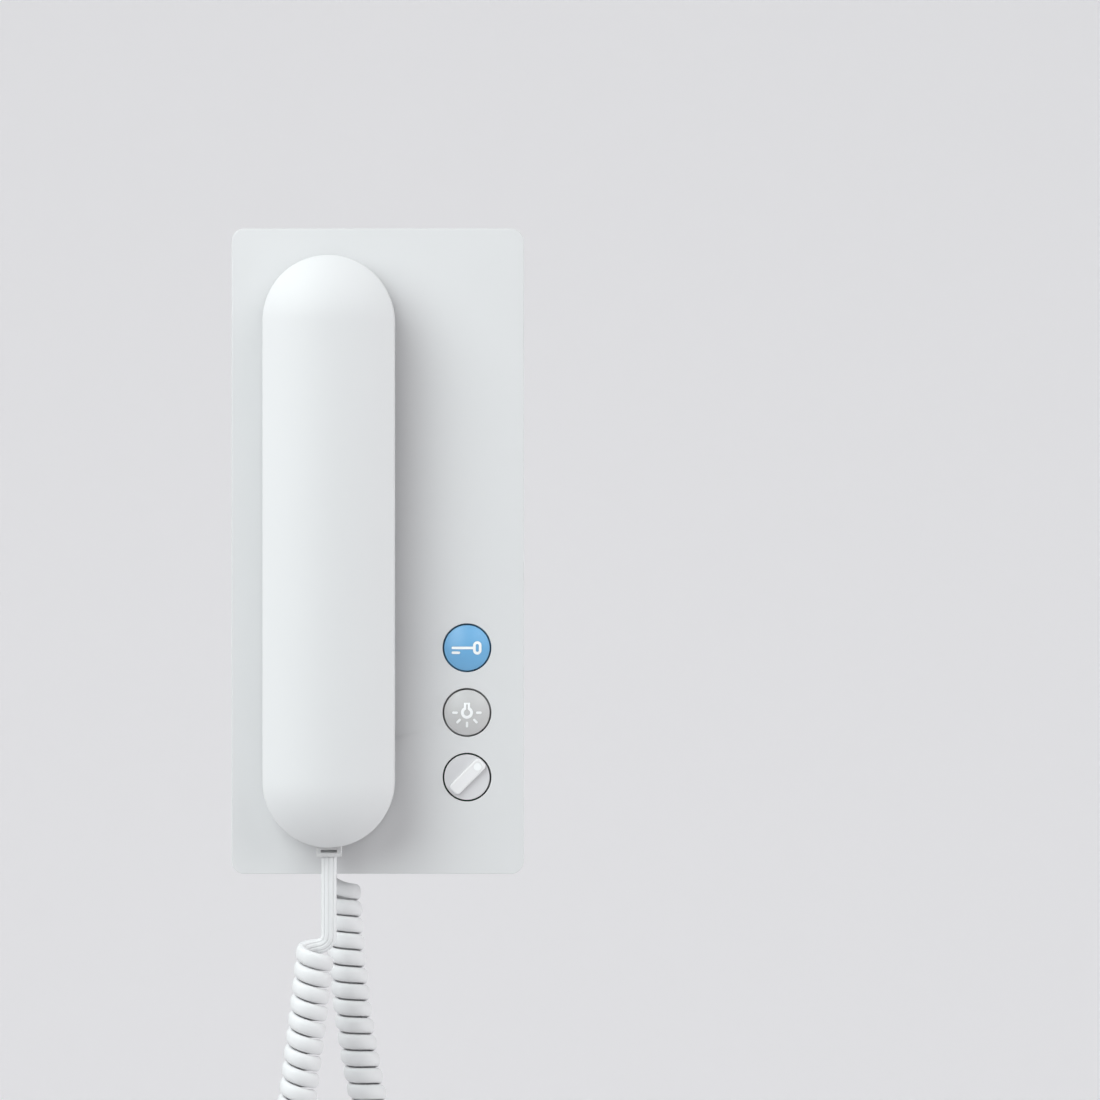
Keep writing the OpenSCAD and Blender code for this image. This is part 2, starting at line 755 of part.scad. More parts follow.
// A flat lead: straight from its plug, then round an edgewise bend onto the curls
function lead_bend(from, onto, heading, pull) = [for (i = [0:5]) let (f = i / 5, g = 1 - f)
    g * g * g * from + 3 * g * g * f * (from - [0, 0, pull]) + 3 * g * f * f * (onto - pull * heading)
    + f * f * f * onto];

base_straight = 2;
bend_above = 4;
handset_pull = 2.6;
base_pull = 2.6;
cord_first = curl_ring(0);
cord_last = curl_ring(curl_count);
handset_exit = [handset_x, -handset_plug_w, handset_plug_y - slide_gap];
base_exit = [jack_x, -base_plug_w, base_plug_y];
handset_bend = lead_bend([handset_x, cord_first[0][1], cord_first[0][2] + bend_above], cord_first[0],
    unit(curl_ring(0.02)[0] - cord_first[0]), handset_pull);
base_bend = lead_bend([jack_x, cord_last[0][1], cord_last[0][2] + bend_above], cord_last[0],
    unit(curl_ring(curl_count - 0.02)[0] - cord_last[0]), base_pull);
cord_rings = concat(
    [for (p = [handset_exit, handset_exit - [0, 0, cord_w]]) [p, [0, 1, 0]]],
    [for (i = [0:4]) [handset_bend[i], [0, 1, 0]]],
    [for (i = [0:curl_rings * curl_count]) curl_ring(i / curl_rings)],
    [for (i = [4:-1:0]) [base_bend[i], unit(i * cord_last[1] + (5 - i) * [0, -1, 0])]],
    [for (p = [base_exit - [0, 0, base_straight], base_exit]) [p, [0, -1, 0]]]
);
cord_outline = [[0.5, 0], [0.33, 0.5], [-0.33, 0.5], [-0.5, 0], [-0.33, -0.5], [0.33, -0.5]];
cord_end = len(cord_rings) - 1;
cord_skin = [for (i = [0:cord_end])
    let (
        ahead = cord_rings[min(i + 1, cord_end)][0] - cord_rings[max(i - 1, 0)][0],
        along = i == 0 || i == cord_end ? [0, 0, sign(ahead[2])] : unit(ahead),
        wide = unit(cross(along, cord_rings[i][1])),
        thin = cross(wide, along)
    )
    [for (p = cord_outline) cord_rings[i][0] + p[0] * cord_w * wide + p[1] * cord_t * thin]];

// Least gap from one curl's edge to points along the next one's, and from each curl to all others
curl_from = 7;
curl_to = cord_end - 7;
next_gap = min([for (i = [curl_from:curl_to - curl_rings - 2], a = [0, 3], k = [-2:1], f = [0:0.1:0.9])
    let (near = cord_skin[i + curl_rings + k][3 - a], next = cord_skin[i + curl_rings + k + 1][3 - a])
    norm(cord_skin[i][a] - near * (1 - f) - next * f)]);
far_gap = min([for (i = [curl_from:2:curl_to], j = [i + 2 * curl_rings:2:curl_to])
    norm(cord_rings[i][0] - cord_rings[j][0])]) - cord_w;
cord_length = [for (i = 0, s = 0; i <= cord_end;
    s = s + (i < cord_end ? norm(cord_rings[i + 1][0] - cord_rings[i][0]) : 0), i = i + 1) s];
echo(curls = curl_count, least_gap = min(next_gap, far_gap), length = cord_length[cord_end]);  // curly_cord

// The flat cord in one piece, from the handset's plug through the hanging curls to the base
module curly_cord() {
    color("#E3E6E7") tube_of(cord_skin);
}

module door_key_cap() {
    color("#6FA6D2") stand() at(key_x, key_y[0], 0) key_cap() key_symbol(fit_gap);
}

module door_key_symbol() {
    color("#F4F6F7") stand() at(key_x, key_y[0], 0) key_inlay() key_symbol(0);
}

module door_key_plunger() {
    color("#4A4C4E") stand() at(key_x, key_y[0], 0) key_plunger();
}

module door_key_switch() {
    color("#2F3032") stand() at(key_x, key_y[0], 0) key_switch();
}

module light_key_cap() {
    color("#C3C6C8") stand() at(key_x, key_y[1], 0) key_cap() lamp_symbol(fit_gap);
}

module light_key_symbol() {
    color("#F4F6F7") stand() at(key_x, key_y[1], 0) key_inlay() lamp_symbol(0);
}

module light_key_plunger() {
    color("#4A4C4E") stand() at(key_x, key_y[1], 0) key_plunger();
}

module light_key_switch() {
    color("#2F3032") stand() at(key_x, key_y[1], 0) key_switch();
}

// The knob for the ring volume: a disc with a raised bar that points up to the right
knob_bore_top = knob_face - 1.8;
dot_out = 4.65;
bar_shift = 0.3;
bar_corner = 1.2;
module ring_knob() {
    hub_r = shaft_r + 1.6;
    hub_foot = board_top + control_h + slide_gap;
    color("#CDD0D2") stand() at(key_x, key_y[2], 0) rotate(45) difference() {
        union() {
            at(0, 0, flange_w) cylinder(r = key_r, h = knob_face - flange_w);
            at(0, 0, hub_foot) cylinder(r = hub_r, h = knob_face - hub_foot - 0.7);
            at(bar_shift, 0, knob_face - 0.2) linear_extrude(bar_h + 0.2)
                rounded_rect(2 * (key_r - bar_shift) - 0.6, bar_w, bar_corner);
        }
        at(0, 0, board_top) cylinder(r = shaft_r + fit_gap, h = knob_bore_top - board_top);
        at(dot_out, 0, knob_face + bar_h - inlay_t) cylinder(r = dot_r + fit_gap, h = inlay_t + over);
    }
}

module knob_marker() {
    color("#F7F8F8") stand() at(key_x, key_y[2], 0) rotate(45)
        at(dot_out, 0, knob_face + bar_h - inlay_t) cylinder(r = dot_r, h = inlay_t + fit_gap);
}

module knob_shaft() {
    color("#A9ABAD") stand() at(key_x, key_y[2], board_top + 1)
        cylinder(r = shaft_r, h = knob_bore_top - board_top - 1);
}

// The potentiometer that the knob turns
module ring_control() {
    control_size = 12;
    color("#44484C") stand() difference() {
        at(key_x, key_y[2], board_top) block([control_size, control_size, control_h]);
        at(key_x, key_y[2], board_top + 0.8) cylinder(r = shaft_r + run_gap, h = control_h);
    }
}

// The ringer: rim, basket and magnet
speaker_rim_h = 1.6;
basket_h = 3.2;
magnet_h = 2.8;
speaker_face = cover_under - gasket_t;
magnet_w = speaker_face - speaker_rim_h - basket_h - magnet_h;
module ringer_speaker() {
    color("#3B3D40") stand() at(handset_x, speaker_y, 0) {
        at(0, 0, speaker_face - speaker_rim_h) cylinder(r = speaker_r, h = speaker_rim_h);
        at(0, 0, speaker_face - speaker_rim_h - basket_h) cylinder(r = speaker_r - 3, h = basket_h + 0.5);
        at(0, 0, magnet_w) cylinder(r = speaker_r / 2, h = magnet_h + 0.5);
    }
}

module ringer_gasket() {
    color("#232426") stand() at(handset_x, speaker_y, speaker_face)
        ring(speaker_r, speaker_r - 4, gasket_t);
}

// The ringer's pair of wires, from its basket to the board
module ringer_wires() {
    basket_back = speaker_face - speaker_rim_h - basket_h;
    color("#B03A30") stand()
        at(handset_x + 10, speaker_y + speaker_r - 8, basket_back - wire_r - 0.1) wire(ringer_route);
}

// The hook lever: arm, finger through the cover, tail over the hook switch
module hook_lever() {
    color("#8E9496") stand() at(handset_x, 0, 0) side_prism(hook_t) difference() {
        union() {
            translate([hook_y - hook_tail, hook_w - hook_half])
                square([hook_tail + hook_arm, 2 * hook_half]);
            translate([hook_y + hook_arm - hook_finger, hook_w - hook_half])
                square([hook_finger, back_w - slide_gap - hook_w + hook_half]);
            translate([hook_y, hook_w]) circle(hook_hub_r);
        }
        translate([hook_y, hook_w]) circle(hook_pin_r + run_gap);
    }
}

module hook_pin() {
    color("#B4B6B8") stand() at(handset_x, 0, 0)
        side_prism(hook_t + 2 * (slide_gap + 2)) translate([hook_y, hook_w]) circle(hook_pin_r);
}

// The leaf spring that lifts the hook lever: foot on the board, riser and leaf
module hook_spring() {
    leaf_t = 0.4;
    riser_y = hook_y + 13;
    color("#C3C5C6") stand() at(handset_x, 0, 0) side_prism(3) polygon([
        [riser_y + 4, board_top], [riser_y + 4, board_top + leaf_t], [riser_y + leaf_t, board_top + leaf_t],
        [riser_y + leaf_t, hook_under], [riser_y - 8, hook_under], [riser_y - 8, hook_under - leaf_t],
        [riser_y, hook_under - leaf_t], [riser_y, board_top],
    ]);
}

module hook_switch() {
    color("#2F3032") stand() difference() {
        at(handset_x, hook_plunger_y, board_top) block([6, 8, hook_switch_h]);
        at(handset_x, hook_plunger_y, board_top - over)
            cylinder(r = hook_plunger_r + run_gap, h = hook_switch_h + 2 * over);
    }
}

module hook_plunger() {
    color("#C46A3A") stand() at(handset_x, hook_plunger_y, hook_plunger_foot)
        cylinder(r = hook_plunger_r, h = hook_under - hook_plunger_foot);
}

// The handset's front shell: crowned, with two screw bosses inside
module handset_outer() {
    inner_edge = 0.3;
    outside = half_section(half_w, crown_w, crown_r, edge_r, parting_w + fit_gap);
    inside = half_section(
        half_w - shell_t, crown_w - shell_t, crown_r - shell_t, inner_edge, parting_w - over
    );
    color("#E9ECED") stand() at(handset_x, 0, 0) difference() {
        handset_sweep(outside);
        difference() {
            handset_sweep(inside);
            for (y = handset_screw_y) at(0, y, parting_w - over) cylinder(r = boss_r, h = crown_w);
        }
        for (y = handset_screw_y) at(0, y, parting_w - over) cylinder(r = screw_r + fit_gap, h = 5);
        handset_plug_way();
    }
}

// The handset's rear shell: flat back, side walls, ear cap, mouth cap and screw seats
module handset_inner() {
    lean = tan(lift_slope);
    slot_low = lug_y - lug_gap;
    slot_high = lug_y + lug_h + lug_gap;
    nest_r = mic_r + boot_t + fit_gap;
    hole_h = cap_floor_t + 2 * over;
    color("#E4E7E8") stand() at(handset_x, 0, 0) difference() {
        union() {
            difference() {
                handset_slab(half_w, back_w, parting_w);
                handset_slab(half_w - shell_t, plate_in, parting_w + over);
            }
            for (y = [-cap_y, cap_y]) at(0, y, cap_face) cylinder(r = cap_r, h = cap_h + 0.5);
            for (y = handset_screw_y) at(0, y, back_w + 0.5)
                cylinder(r = pad_r, h = parting_h - 0.5 - fit_gap);
        }
        for (y = [-cap_y, cap_y]) difference() {
            at(0, y, cap_face + cap_floor_t) cylinder(r = cap_r - cap_wall, h = cap_h + shell_t);
            if (y < 0) at(0, y, cap_face) ring(nest_r + 1.4, nest_r, cap_floor_t + mic_h - 0.5);
        }
        at(0, cap_y, cap_face - over) {
            cylinder(r = 1, h = hole_h);
            for (a = [0:60:300]) rotate(a) at(5.5, 0, 0) cylinder(r = 1, h = hole_h);
        }
        for (x = [-2.4, 0, 2.4]) at(x, -cap_y, cap_face - over) cylinder(r = 0.7, h = hole_h);
        side_prism(lug_w + 2 * lug_gap) polygon([
            [slot_low + (handset_gap - over) * lean, back_w - over],
            [slot_high + (handset_gap - over) * lean, back_w - over],
            [slot_high + (handset_gap + shell_t + over) * lean, plate_in + over],
            [slot_low + (handset_gap + shell_t + over) * lean, plate_in + over],
        ]);
        for (y = handset_screw_y) {
            at(0, y, back_w - over) cylinder(r = head_r + hole_gap, h = seat_h + over);
            at(0, y, back_w) cylinder(r = screw_r + hole_gap, h = parting_h + over);
        }
        handset_plug_way();
    }
}

// Two screws that join the handset's shells from behind
module handset_screws() {
    color("#A6A8AA") stand() for (y = handset_screw_y) at(handset_x, y, back_w + seat_h)
        mirror([0, 0, 1]) screw(parting_h - seat_h + 3.6);
}

// The steel weight that makes the handset press the hook
module handset_weight() {
    color("#7D8082") stand() at(handset_x, weight_y, plate_in) block([weight_w, weight_l, weight_t]);
}

module earpiece() {
    color("#4B4E52") stand() at(handset_x, cap_y, cap_face + cap_floor_t + ring_t) {
        cylinder(r = earpiece_r, h = earpiece_h);
        cylinder(r = earpiece_r / 2, h = earpiece_h + 1);
    }
}

module earpiece_ring() {
    color("#1F2022") stand() at(handset_x, cap_y, cap_face + cap_floor_t)
        ring(earpiece_r, earpiece_r - 3.4, ring_t);
}

// The earpiece's wires, from the jack up beside the weight
module earpiece_wires() {
    color("#2F5FA8") stand() at(handset_x, handset_jack_y + jack_l + slide_gap, handset_plug_w)
        wire(earpiece_route);
}

module microphone() {
    color("#9A9C9E") stand() at(handset_x, -cap_y, cap_face + cap_floor_t + ring_t)
        cylinder(r = mic_r, h = mic_h);
}

// The rubber boot round the microphone, with a sound hole in its floor
module microphone_boot() {
    color("#1F2022") stand() at(handset_x, -cap_y, cap_face + cap_floor_t) difference() {
        cylinder(r = mic_r + boot_t, h = mic_h);
        at(0, 0, ring_t) cylinder(r = mic_r + fit_gap, h = mic_h);
        at(0, 0, -over) cylinder(r = 2.9, h = 2 * over);
    }
}

module microphone_wires() {
    color("#2F5FA8") stand() at(handset_x, handset_jack_y + jack_l + slide_gap, handset_plug_w)
        wire(microphone_route);
}

module handset_jack() {
    color("#3A3B3D") stand() at(handset_x, handset_jack_y, handset_plug_w) jack();
}

module handset_jack_contacts() {
    color("#C9A24A") stand() at(handset_x, handset_jack_y, handset_plug_w) jack_contacts();
}

module handset_plug() {
    color("#D8DCDD") stand() at(handset_x, handset_plug_y, handset_plug_w) plug();
}

wall_base();
front_cover();
cover_screw();
main_board();
board_screws();
audio_chip();
capacitors();
terminal_block();
terminal_screws();
base_jack();
base_jack_contacts();
base_plug();
curly_cord();
door_key_cap();
door_key_symbol();
door_key_plunger();
door_key_switch();
light_key_cap();
light_key_symbol();
light_key_plunger();
light_key_switch();
ring_knob();
knob_marker();
knob_shaft();
ring_control();
ringer_speaker();
ringer_gasket();
ringer_wires();
hook_lever();
hook_pin();
hook_spring();
hook_switch();
hook_plunger();
handset_outer();
handset_inner();
handset_screws();
handset_weight();
earpiece();
earpiece_ring();
earpiece_wires();
microphone();
microphone_boot();
microphone_wires();
handset_jack();
handset_jack_contacts();
handset_plug();
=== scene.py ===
import json
import math

import bmesh
import bpy
import numpy as np
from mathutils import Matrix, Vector

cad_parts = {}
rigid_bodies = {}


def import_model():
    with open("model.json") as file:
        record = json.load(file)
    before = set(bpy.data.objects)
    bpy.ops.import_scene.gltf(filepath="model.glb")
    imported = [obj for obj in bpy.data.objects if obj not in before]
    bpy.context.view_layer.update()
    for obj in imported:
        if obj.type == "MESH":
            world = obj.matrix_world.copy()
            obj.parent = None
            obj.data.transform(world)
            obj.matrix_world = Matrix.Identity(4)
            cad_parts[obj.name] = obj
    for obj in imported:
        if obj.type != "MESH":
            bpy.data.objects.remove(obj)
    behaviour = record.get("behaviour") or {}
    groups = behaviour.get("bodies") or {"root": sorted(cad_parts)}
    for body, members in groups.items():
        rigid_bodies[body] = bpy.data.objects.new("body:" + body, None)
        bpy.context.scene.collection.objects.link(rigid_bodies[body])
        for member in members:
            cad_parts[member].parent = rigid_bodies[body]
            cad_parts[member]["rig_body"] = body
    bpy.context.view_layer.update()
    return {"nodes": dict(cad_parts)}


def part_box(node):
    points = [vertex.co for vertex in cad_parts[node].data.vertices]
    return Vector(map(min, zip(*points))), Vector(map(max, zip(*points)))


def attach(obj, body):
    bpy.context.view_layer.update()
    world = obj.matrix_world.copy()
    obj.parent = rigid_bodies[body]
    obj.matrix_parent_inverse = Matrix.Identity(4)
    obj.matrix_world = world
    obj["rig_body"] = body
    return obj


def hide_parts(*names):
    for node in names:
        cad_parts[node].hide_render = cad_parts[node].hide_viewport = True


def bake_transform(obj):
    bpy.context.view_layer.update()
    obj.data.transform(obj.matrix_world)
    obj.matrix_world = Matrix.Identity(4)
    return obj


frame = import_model()
nodes = frame["nodes"]
scene = bpy.context.scene
mm = 0.001
sameFace = 0.01 * mm             # heights this close belong to one face
onRimWithin = 0.1 * mm           # how far off a rim's edges may lie
print("frame loaded:", len(nodes), "nodes")


# Small helpers

def hexColour(text):
    channels = [int(text[i:i + 2], 16) / 255 for i in (1, 3, 5)]
    linear = [c / 12.92 if c <= 0.04045 else ((c + 0.055) / 1.055) ** 2.4 for c in channels]
    return (*linear, 1.0)


def addNode(tree, kind, inputs=None, **settings):
    node = tree.nodes.new(kind)
    for key, value in settings.items():
        setattr(node, key, value)
    for key, value in (inputs or {}).items():
        if isinstance(value, bpy.types.NodeSocket):
            tree.links.new(value, node.inputs[key])
        else:
            node.inputs[key].default_value = value
    return node


def linkNew(name, data):
    piece = bpy.data.objects.new(name, data)
    scene.collection.objects.link(piece)
    return piece


def dropObject(piece):
    bpy.data.objects.remove(piece, do_unlink=True)


def bakeModifiers(piece):
    # the evaluated shape becomes a plain mesh
    graph = bpy.context.evaluated_depsgraph_get()
    mesh = bpy.data.meshes.new_from_object(piece.evaluated_get(graph))
    piece.modifiers.clear()
    old = piece.data
    piece.data = mesh
    bpy.data.meshes.remove(old)
    return piece


def setMaterial(piece, material):
    piece.data.materials.clear()
    piece.data.materials.append(material)


def paintFaces(piece, material, wanted):
    # gives a second finish to the faces whose middle passes the test
    index = len(piece.data.materials)
    piece.data.materials.append(material)
    for face in piece.data.polygons:
        if wanted(*face.center):
            face.material_index = index


# Camera, square to the wall and to the right of the station, as in the photograph

cameraSet = {
    "place": (0.05366, -2.02, 0.00039),
    "lens": 210.1,        # mm on a 36 mm sensor: 343 mm of the wall fill the frame
    "sensor": 36.0,
}
cameraData = bpy.data.cameras.new("photoCamera")
cameraData.lens = cameraSet["lens"]
cameraData.sensor_width = cameraSet["sensor"]
cameraData.clip_end = 50
photoCamera = linkNew("photoCamera", cameraData)
photoCamera.location = cameraSet["place"]
photoCamera.rotation_euler = (math.pi / 2, 0, 0)
scene.camera = photoCamera
scene.view_settings.view_transform = "Standard"
print("camera placed")


# Moulded plastics, metals and rubbers

driftSize = 30 * mm              # how far apart a moulding's paler and darker places lie
glossSpread = 0.05               # a moulding's roughness varies this much either way
edgePolish = 0.06                # taken off the roughness where hands and tools rub an edge
plasticIor = 1.53
metalSpread = 0.08


def mouldedPlastic(name, colour, roughness, grainSize, grainDepth, tint=0.02):
    # a moulded skin: spark-eroded grain in gloss and height, a faint drift of colour, polished edges
    # the grain is drawn coarser than the real one, which is too fine to show
    material = bpy.data.materials.new(name)
    material.use_nodes = True
    tree = material.node_tree
    shader = tree.nodes["Principled BSDF"]
    place = addNode(tree, "ShaderNodeTexCoord").outputs["Object"]
    grain = addNode(tree, "ShaderNodeTexNoise", {
        "Vector": place, "Scale": 1 / grainSize, "Detail": 3.0, "Roughness": 0.6}).outputs["Fac"]
    drift = addNode(tree, "ShaderNodeTexNoise", {
        "Vector": place, "Scale": 1 / driftSize, "Detail": 2.0}).outputs["Fac"]
    base = hexColour(colour)
    mix = addNode(tree, "ShaderNodeMix", {"Factor": drift}, data_type="RGBA")
    mix.inputs[6].default_value = tuple(c * (1 - tint) for c in base[:3]) + (1.0,)
    mix.inputs[7].default_value = tuple(min(1.0, c * (1 + tint)) for c in base[:3]) + (1.0,)
    tree.links.new(mix.outputs[2], shader.inputs["Base Color"])
    gloss = addNode(tree, "ShaderNodeMapRange", {
        "Value": grain, "From Min": 0.3, "From Max": 0.7,
        "To Min": roughness - glossSpread, "To Max": roughness + glossSpread})
    edge = addNode(tree, "ShaderNodeMapRange", {
        "Value": addNode(tree, "ShaderNodeNewGeometry").outputs["Pointiness"],
        "From Min": 0.52, "From Max": 0.6, "To Min": 0.0, "To Max": edgePolish})
    polished = addNode(tree, "ShaderNodeMath", {
        0: gloss.outputs["Result"], 1: edge.outputs["Result"]}, operation="SUBTRACT")
    tree.links.new(polished.outputs["Value"], shader.inputs["Roughness"])
    bump = addNode(tree, "ShaderNodeBump", {"Height": grain, "Strength": 0.5, "Distance": grainDepth})
    tree.links.new(bump.outputs["Normal"], shader.inputs["Normal"])
    shader.inputs["IOR"].default_value = plasticIor
    return material


def plainMetal(name, colour, roughness, streakSize):
    # drawn or plated metal: fine streaks along the height in the gloss
    material = bpy.data.materials.new(name)
    material.use_nodes = True
    tree = material.node_tree
    shader = tree.nodes["Principled BSDF"]
    place = addNode(tree, "ShaderNodeTexCoord").outputs["Object"]
    stretch = addNode(tree, "ShaderNodeMapping", {"Vector": place, "Scale": (1.0, 1.0, 0.08)})
    streaks = addNode(tree, "ShaderNodeTexNoise", {
        "Vector": stretch.outputs["Vector"], "Scale": 1 / streakSize, "Detail": 4.0})
    gloss = addNode(tree, "ShaderNodeMapRange", {
        "Value": streaks.outputs["Fac"], "From Min": 0.3, "From Max": 0.7,
        "To Min": roughness - metalSpread, "To Max": roughness + metalSpread})
    tree.links.new(gloss.outputs["Result"], shader.inputs["Roughness"])
    shader.inputs["Base Color"].default_value = hexColour(colour)
    shader.inputs["Metallic"].default_value = 1.0
    return material


# white ABS of the station and the handset: matt and neutral, so that shade models the crown
absWhite = mouldedPlastic("absWhiteMatt", "#D9D9DA", 0.57, 0.6 * mm, 0.01 * mm, 0.008)
# moulded polycarbonate of the plugs: greyer and glossier than the cord
plugPolycarbonate = mouldedPlastic("plugPolycarbonate", "#E0E0E0", 0.3, 0.8 * mm, 0.01 * mm, 0.02)
# the same moulding painted darker in the clamp's well, as painted shade
plugWellShade = mouldedPlastic("plugPolycarbonateWellShade", "#C4C4C5", 0.4, 0.8 * mm, 0.01 * mm, 0.02)
# extruded PVC jacket of the cord: soft and matt, the whitest of the large pieces
cordPvc = mouldedPlastic("cordPvcSoft", "#E1E1E2", 0.6, 0.9 * mm, 0.015 * mm, 0.01)
# moulded blue ABS of the door key: a soft sheen that runs darker down the dome
keyBlue = mouldedPlastic("keyBlueAbs", "#71AEDB", 0.38, 0.6 * mm, 0.01 * mm, 0.015)
# moulded grey ABS of the light key: the same sheen, a shade below the station
keyGrey = mouldedPlastic("keyGreyAbs", "#C8C7C7", 0.38, 0.6 * mm, 0.01 * mm, 0.015)
# moulded pale grey ABS of the knob's disc: flat, so it reads as one tone
knobGrey = mouldedPlastic("knobGreyAbs", "#DAD9DB", 0.4, 0.6 * mm, 0.01 * mm, 0.012)
# moulded off-white ABS of the knob's bar: stands out from the disc by its lighter top
knobPale = mouldedPlastic("knobPaleAbs", "#EDECED", 0.38, 0.6 * mm, 0.01 * mm, 0.01)
# second shot of white ABS in the symbols and the marker: clean white against the dyed caps
symbolWhite = mouldedPlastic("symbolWhiteAbs", "#FBFCFD", 0.4, 0.6 * mm, 0.008 * mm, 0.006)
# moulded black nylon of switches, jacks and capsules; also painted shade on the sides of the keys and the
# knob, which turns the gaps round them dark
nylonBlackAndGapShade = mouldedPlastic("nylonBlackAndGapShade", "#2B2D30", 0.5, 0.5 * mm, 0.02 * mm, 0.08)
# moulded grey acetal of the hook lever: smooth and a little waxy
acetalGrey = mouldedPlastic("acetalGrey", "#8F9698", 0.4, 0.5 * mm, 0.01 * mm, 0.03)
# fibreglass board under a printed solder mask: glossy dark green
boardGreen = mouldedPlastic("boardSolderMask", "#2F6B46", 0.35, 0.35 * mm, 0.02 * mm, 0.06)
# cut foam and moulded rubber of gaskets and boots: dull black
foamBlack = mouldedPlastic("foamBlack", "#1E1F21", 0.85, 0.3 * mm, 0.05 * mm, 0.1)
# extruded PVC on the inner wires: plain red and blue with a low gloss
wireBlue = mouldedPlastic("wireBluePvc", "#35609F", 0.45, 0.5 * mm, 0.01 * mm, 0.03)
wireRed = mouldedPlastic("wireRedPvc", "#A83A32", 0.45, 0.5 * mm, 0.01 * mm, 0.03)
# zinc-plated steel of screws, pin, spring and weight: bright grey with fine drawn streaks
steelZinc = plainMetal("steelZincPlated", "#B4B7BA", 0.34, 1.1 * mm)
# phosphor bronze with a gold flash on the contacts: warm and shiny
contactGold = plainMetal("contactGoldFlash", "#D2AE5C", 0.28, 0.7 * mm)

finishOf = {
    "wall_base": absWhite, "front_cover": absWhite, "handset_outer": absWhite, "handset_inner": absWhite,
    "base_plug": plugPolycarbonate, "handset_plug": plugPolycarbonate,
    "door_key_cap": keyBlue, "light_key_cap": keyGrey, "ring_knob": knobGrey,
    "door_key_symbol": symbolWhite, "light_key_symbol": symbolWhite, "knob_marker": symbolWhite,
    "cover_screw": steelZinc, "board_screws": steelZinc, "terminal_screws": steelZinc,
    "handset_screws": steelZinc, "handset_weight": steelZinc, "hook_pin": steelZinc,
    "hook_spring": steelZinc, "knob_shaft": steelZinc, "microphone": steelZinc,
    "base_jack_contacts": contactGold, "handset_jack_contacts": contactGold,
    "main_board": boardGreen, "hook_lever": acetalGrey,
    "ringer_gasket": foamBlack, "earpiece_ring": foamBlack, "microphone_boot": foamBlack,
    "ringer_wires": wireRed, "earpiece_wires": wireBlue, "microphone_wires": wireBlue,
}
for nodeName, node in nodes.items():
    setMaterial(node, finishOf.get(nodeName, nylonBlackAndGapShade))
print("finishes set on", len(nodes), "nodes")


# Moulded pieces whose corners are eased: the solid's own shape, with its sharp edges rounded

easeSet = {
    "weld": 0.002 * mm,          # corners of the solid's triangles this close are one
    "flatWithin": 0.5,           # degrees, below which two triangles are one face
    "sharpFrom": 35,             # degrees, from which an edge is rounded
    "creaseFrom": 32,            # degrees, from which shading breaks
    "segments": 3,
}


def mergedCopy(nodeName):
    bm = bmesh.new()
    bm.from_mesh(nodes[nodeName].data)
    bmesh.ops.remove_doubles(bm, verts=bm.verts, dist=easeSet["weld"])
    bmesh.ops.dissolve_limit(bm, angle_limit=math.radians(easeSet["flatWithin"]), verts=bm.verts,
                              edges=bm.edges)
    return bm


def anyEdge(x, y, z):
    return True


def sharpEdges(bm, wanted):
    least = math.radians(easeSet["sharpFrom"])
    sharp = [e for e in bm.edges if len(e.link_faces) == 2 and e.calc_face_angle(0) > least]
    return [e for e in sharp if wanted(*((e.verts[0].co + e.verts[1].co) / 2))]


def easedPiece(nodeName, name, material, rules):
    # each rule rounds the sharp edges that its test picks, by its own radius
    bm = mergedCopy(nodeName)
    for radius, wanted in rules:
        bmesh.ops.bevel(bm, geom=sharpEdges(bm, wanted), offset=radius, profile=0.5,
                        segments=easeSet["segments"], affect="EDGES", clamp_overlap=False)
    mesh = bpy.data.meshes.new(name)
    bm.to_mesh(mesh)
    bm.free()
    piece = linkNew(name, mesh)
    for face in mesh.polygons:
        face.use_smooth = True
    mesh.set_sharp_from_angle(angle=math.radians(easeSet["creaseFrom"]))
    shading = piece.modifiers.new("shading", "WEIGHTED_NORMAL")
    shading.keep_sharp = True
    bakeModifiers(piece)
    setMaterial(piece, material)
    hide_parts(nodeName)
    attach(piece, nodes[nodeName]["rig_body"])
    print(name, "eased:", len(piece.data.polygons), "faces")
    return piece


# The plugs at the cord's two ends: eased blocks, with painted shade in the well where the cord is clamped

plugSet = {
    "edge": 0.2 * mm,
    "wellHalf": 2.6 * mm,
    "wellHalfHeight": 0.5 * mm,
    "wellRise": 1.8 * mm,        # middle of the well above the cord's end
    "wellDepth": 0.15 * mm,      # where the painted shade starts below the plug's face
}


def easedPlug(nodeName, name):
    low, high = (Vector(corner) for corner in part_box(nodeName))
    middle = (low + high) / 2

    def inShadedWell(x, y, z):
        across = abs(x - middle.x) < plugSet["wellHalf"]
        level = abs(z - low.z - plugSet["wellRise"]) < plugSet["wellHalfHeight"]
        return across and level and low.y + plugSet["wellDepth"] < y < middle.y

    plug = easedPiece(nodeName, name, plugPolycarbonate, [(plugSet["edge"], anyEdge)])
    # painted shade: the well's faces take a darker grey finish
    paintFaces(plug, plugWellShade, inShadedWell)
    return plug


handsetPlug = easedPlug("handset_plug", "handsetPlug")
basePlug = easedPlug("base_plug", "basePlug")


# The curly cord: a flat lead that winds into left-handed curls and hangs in a loop

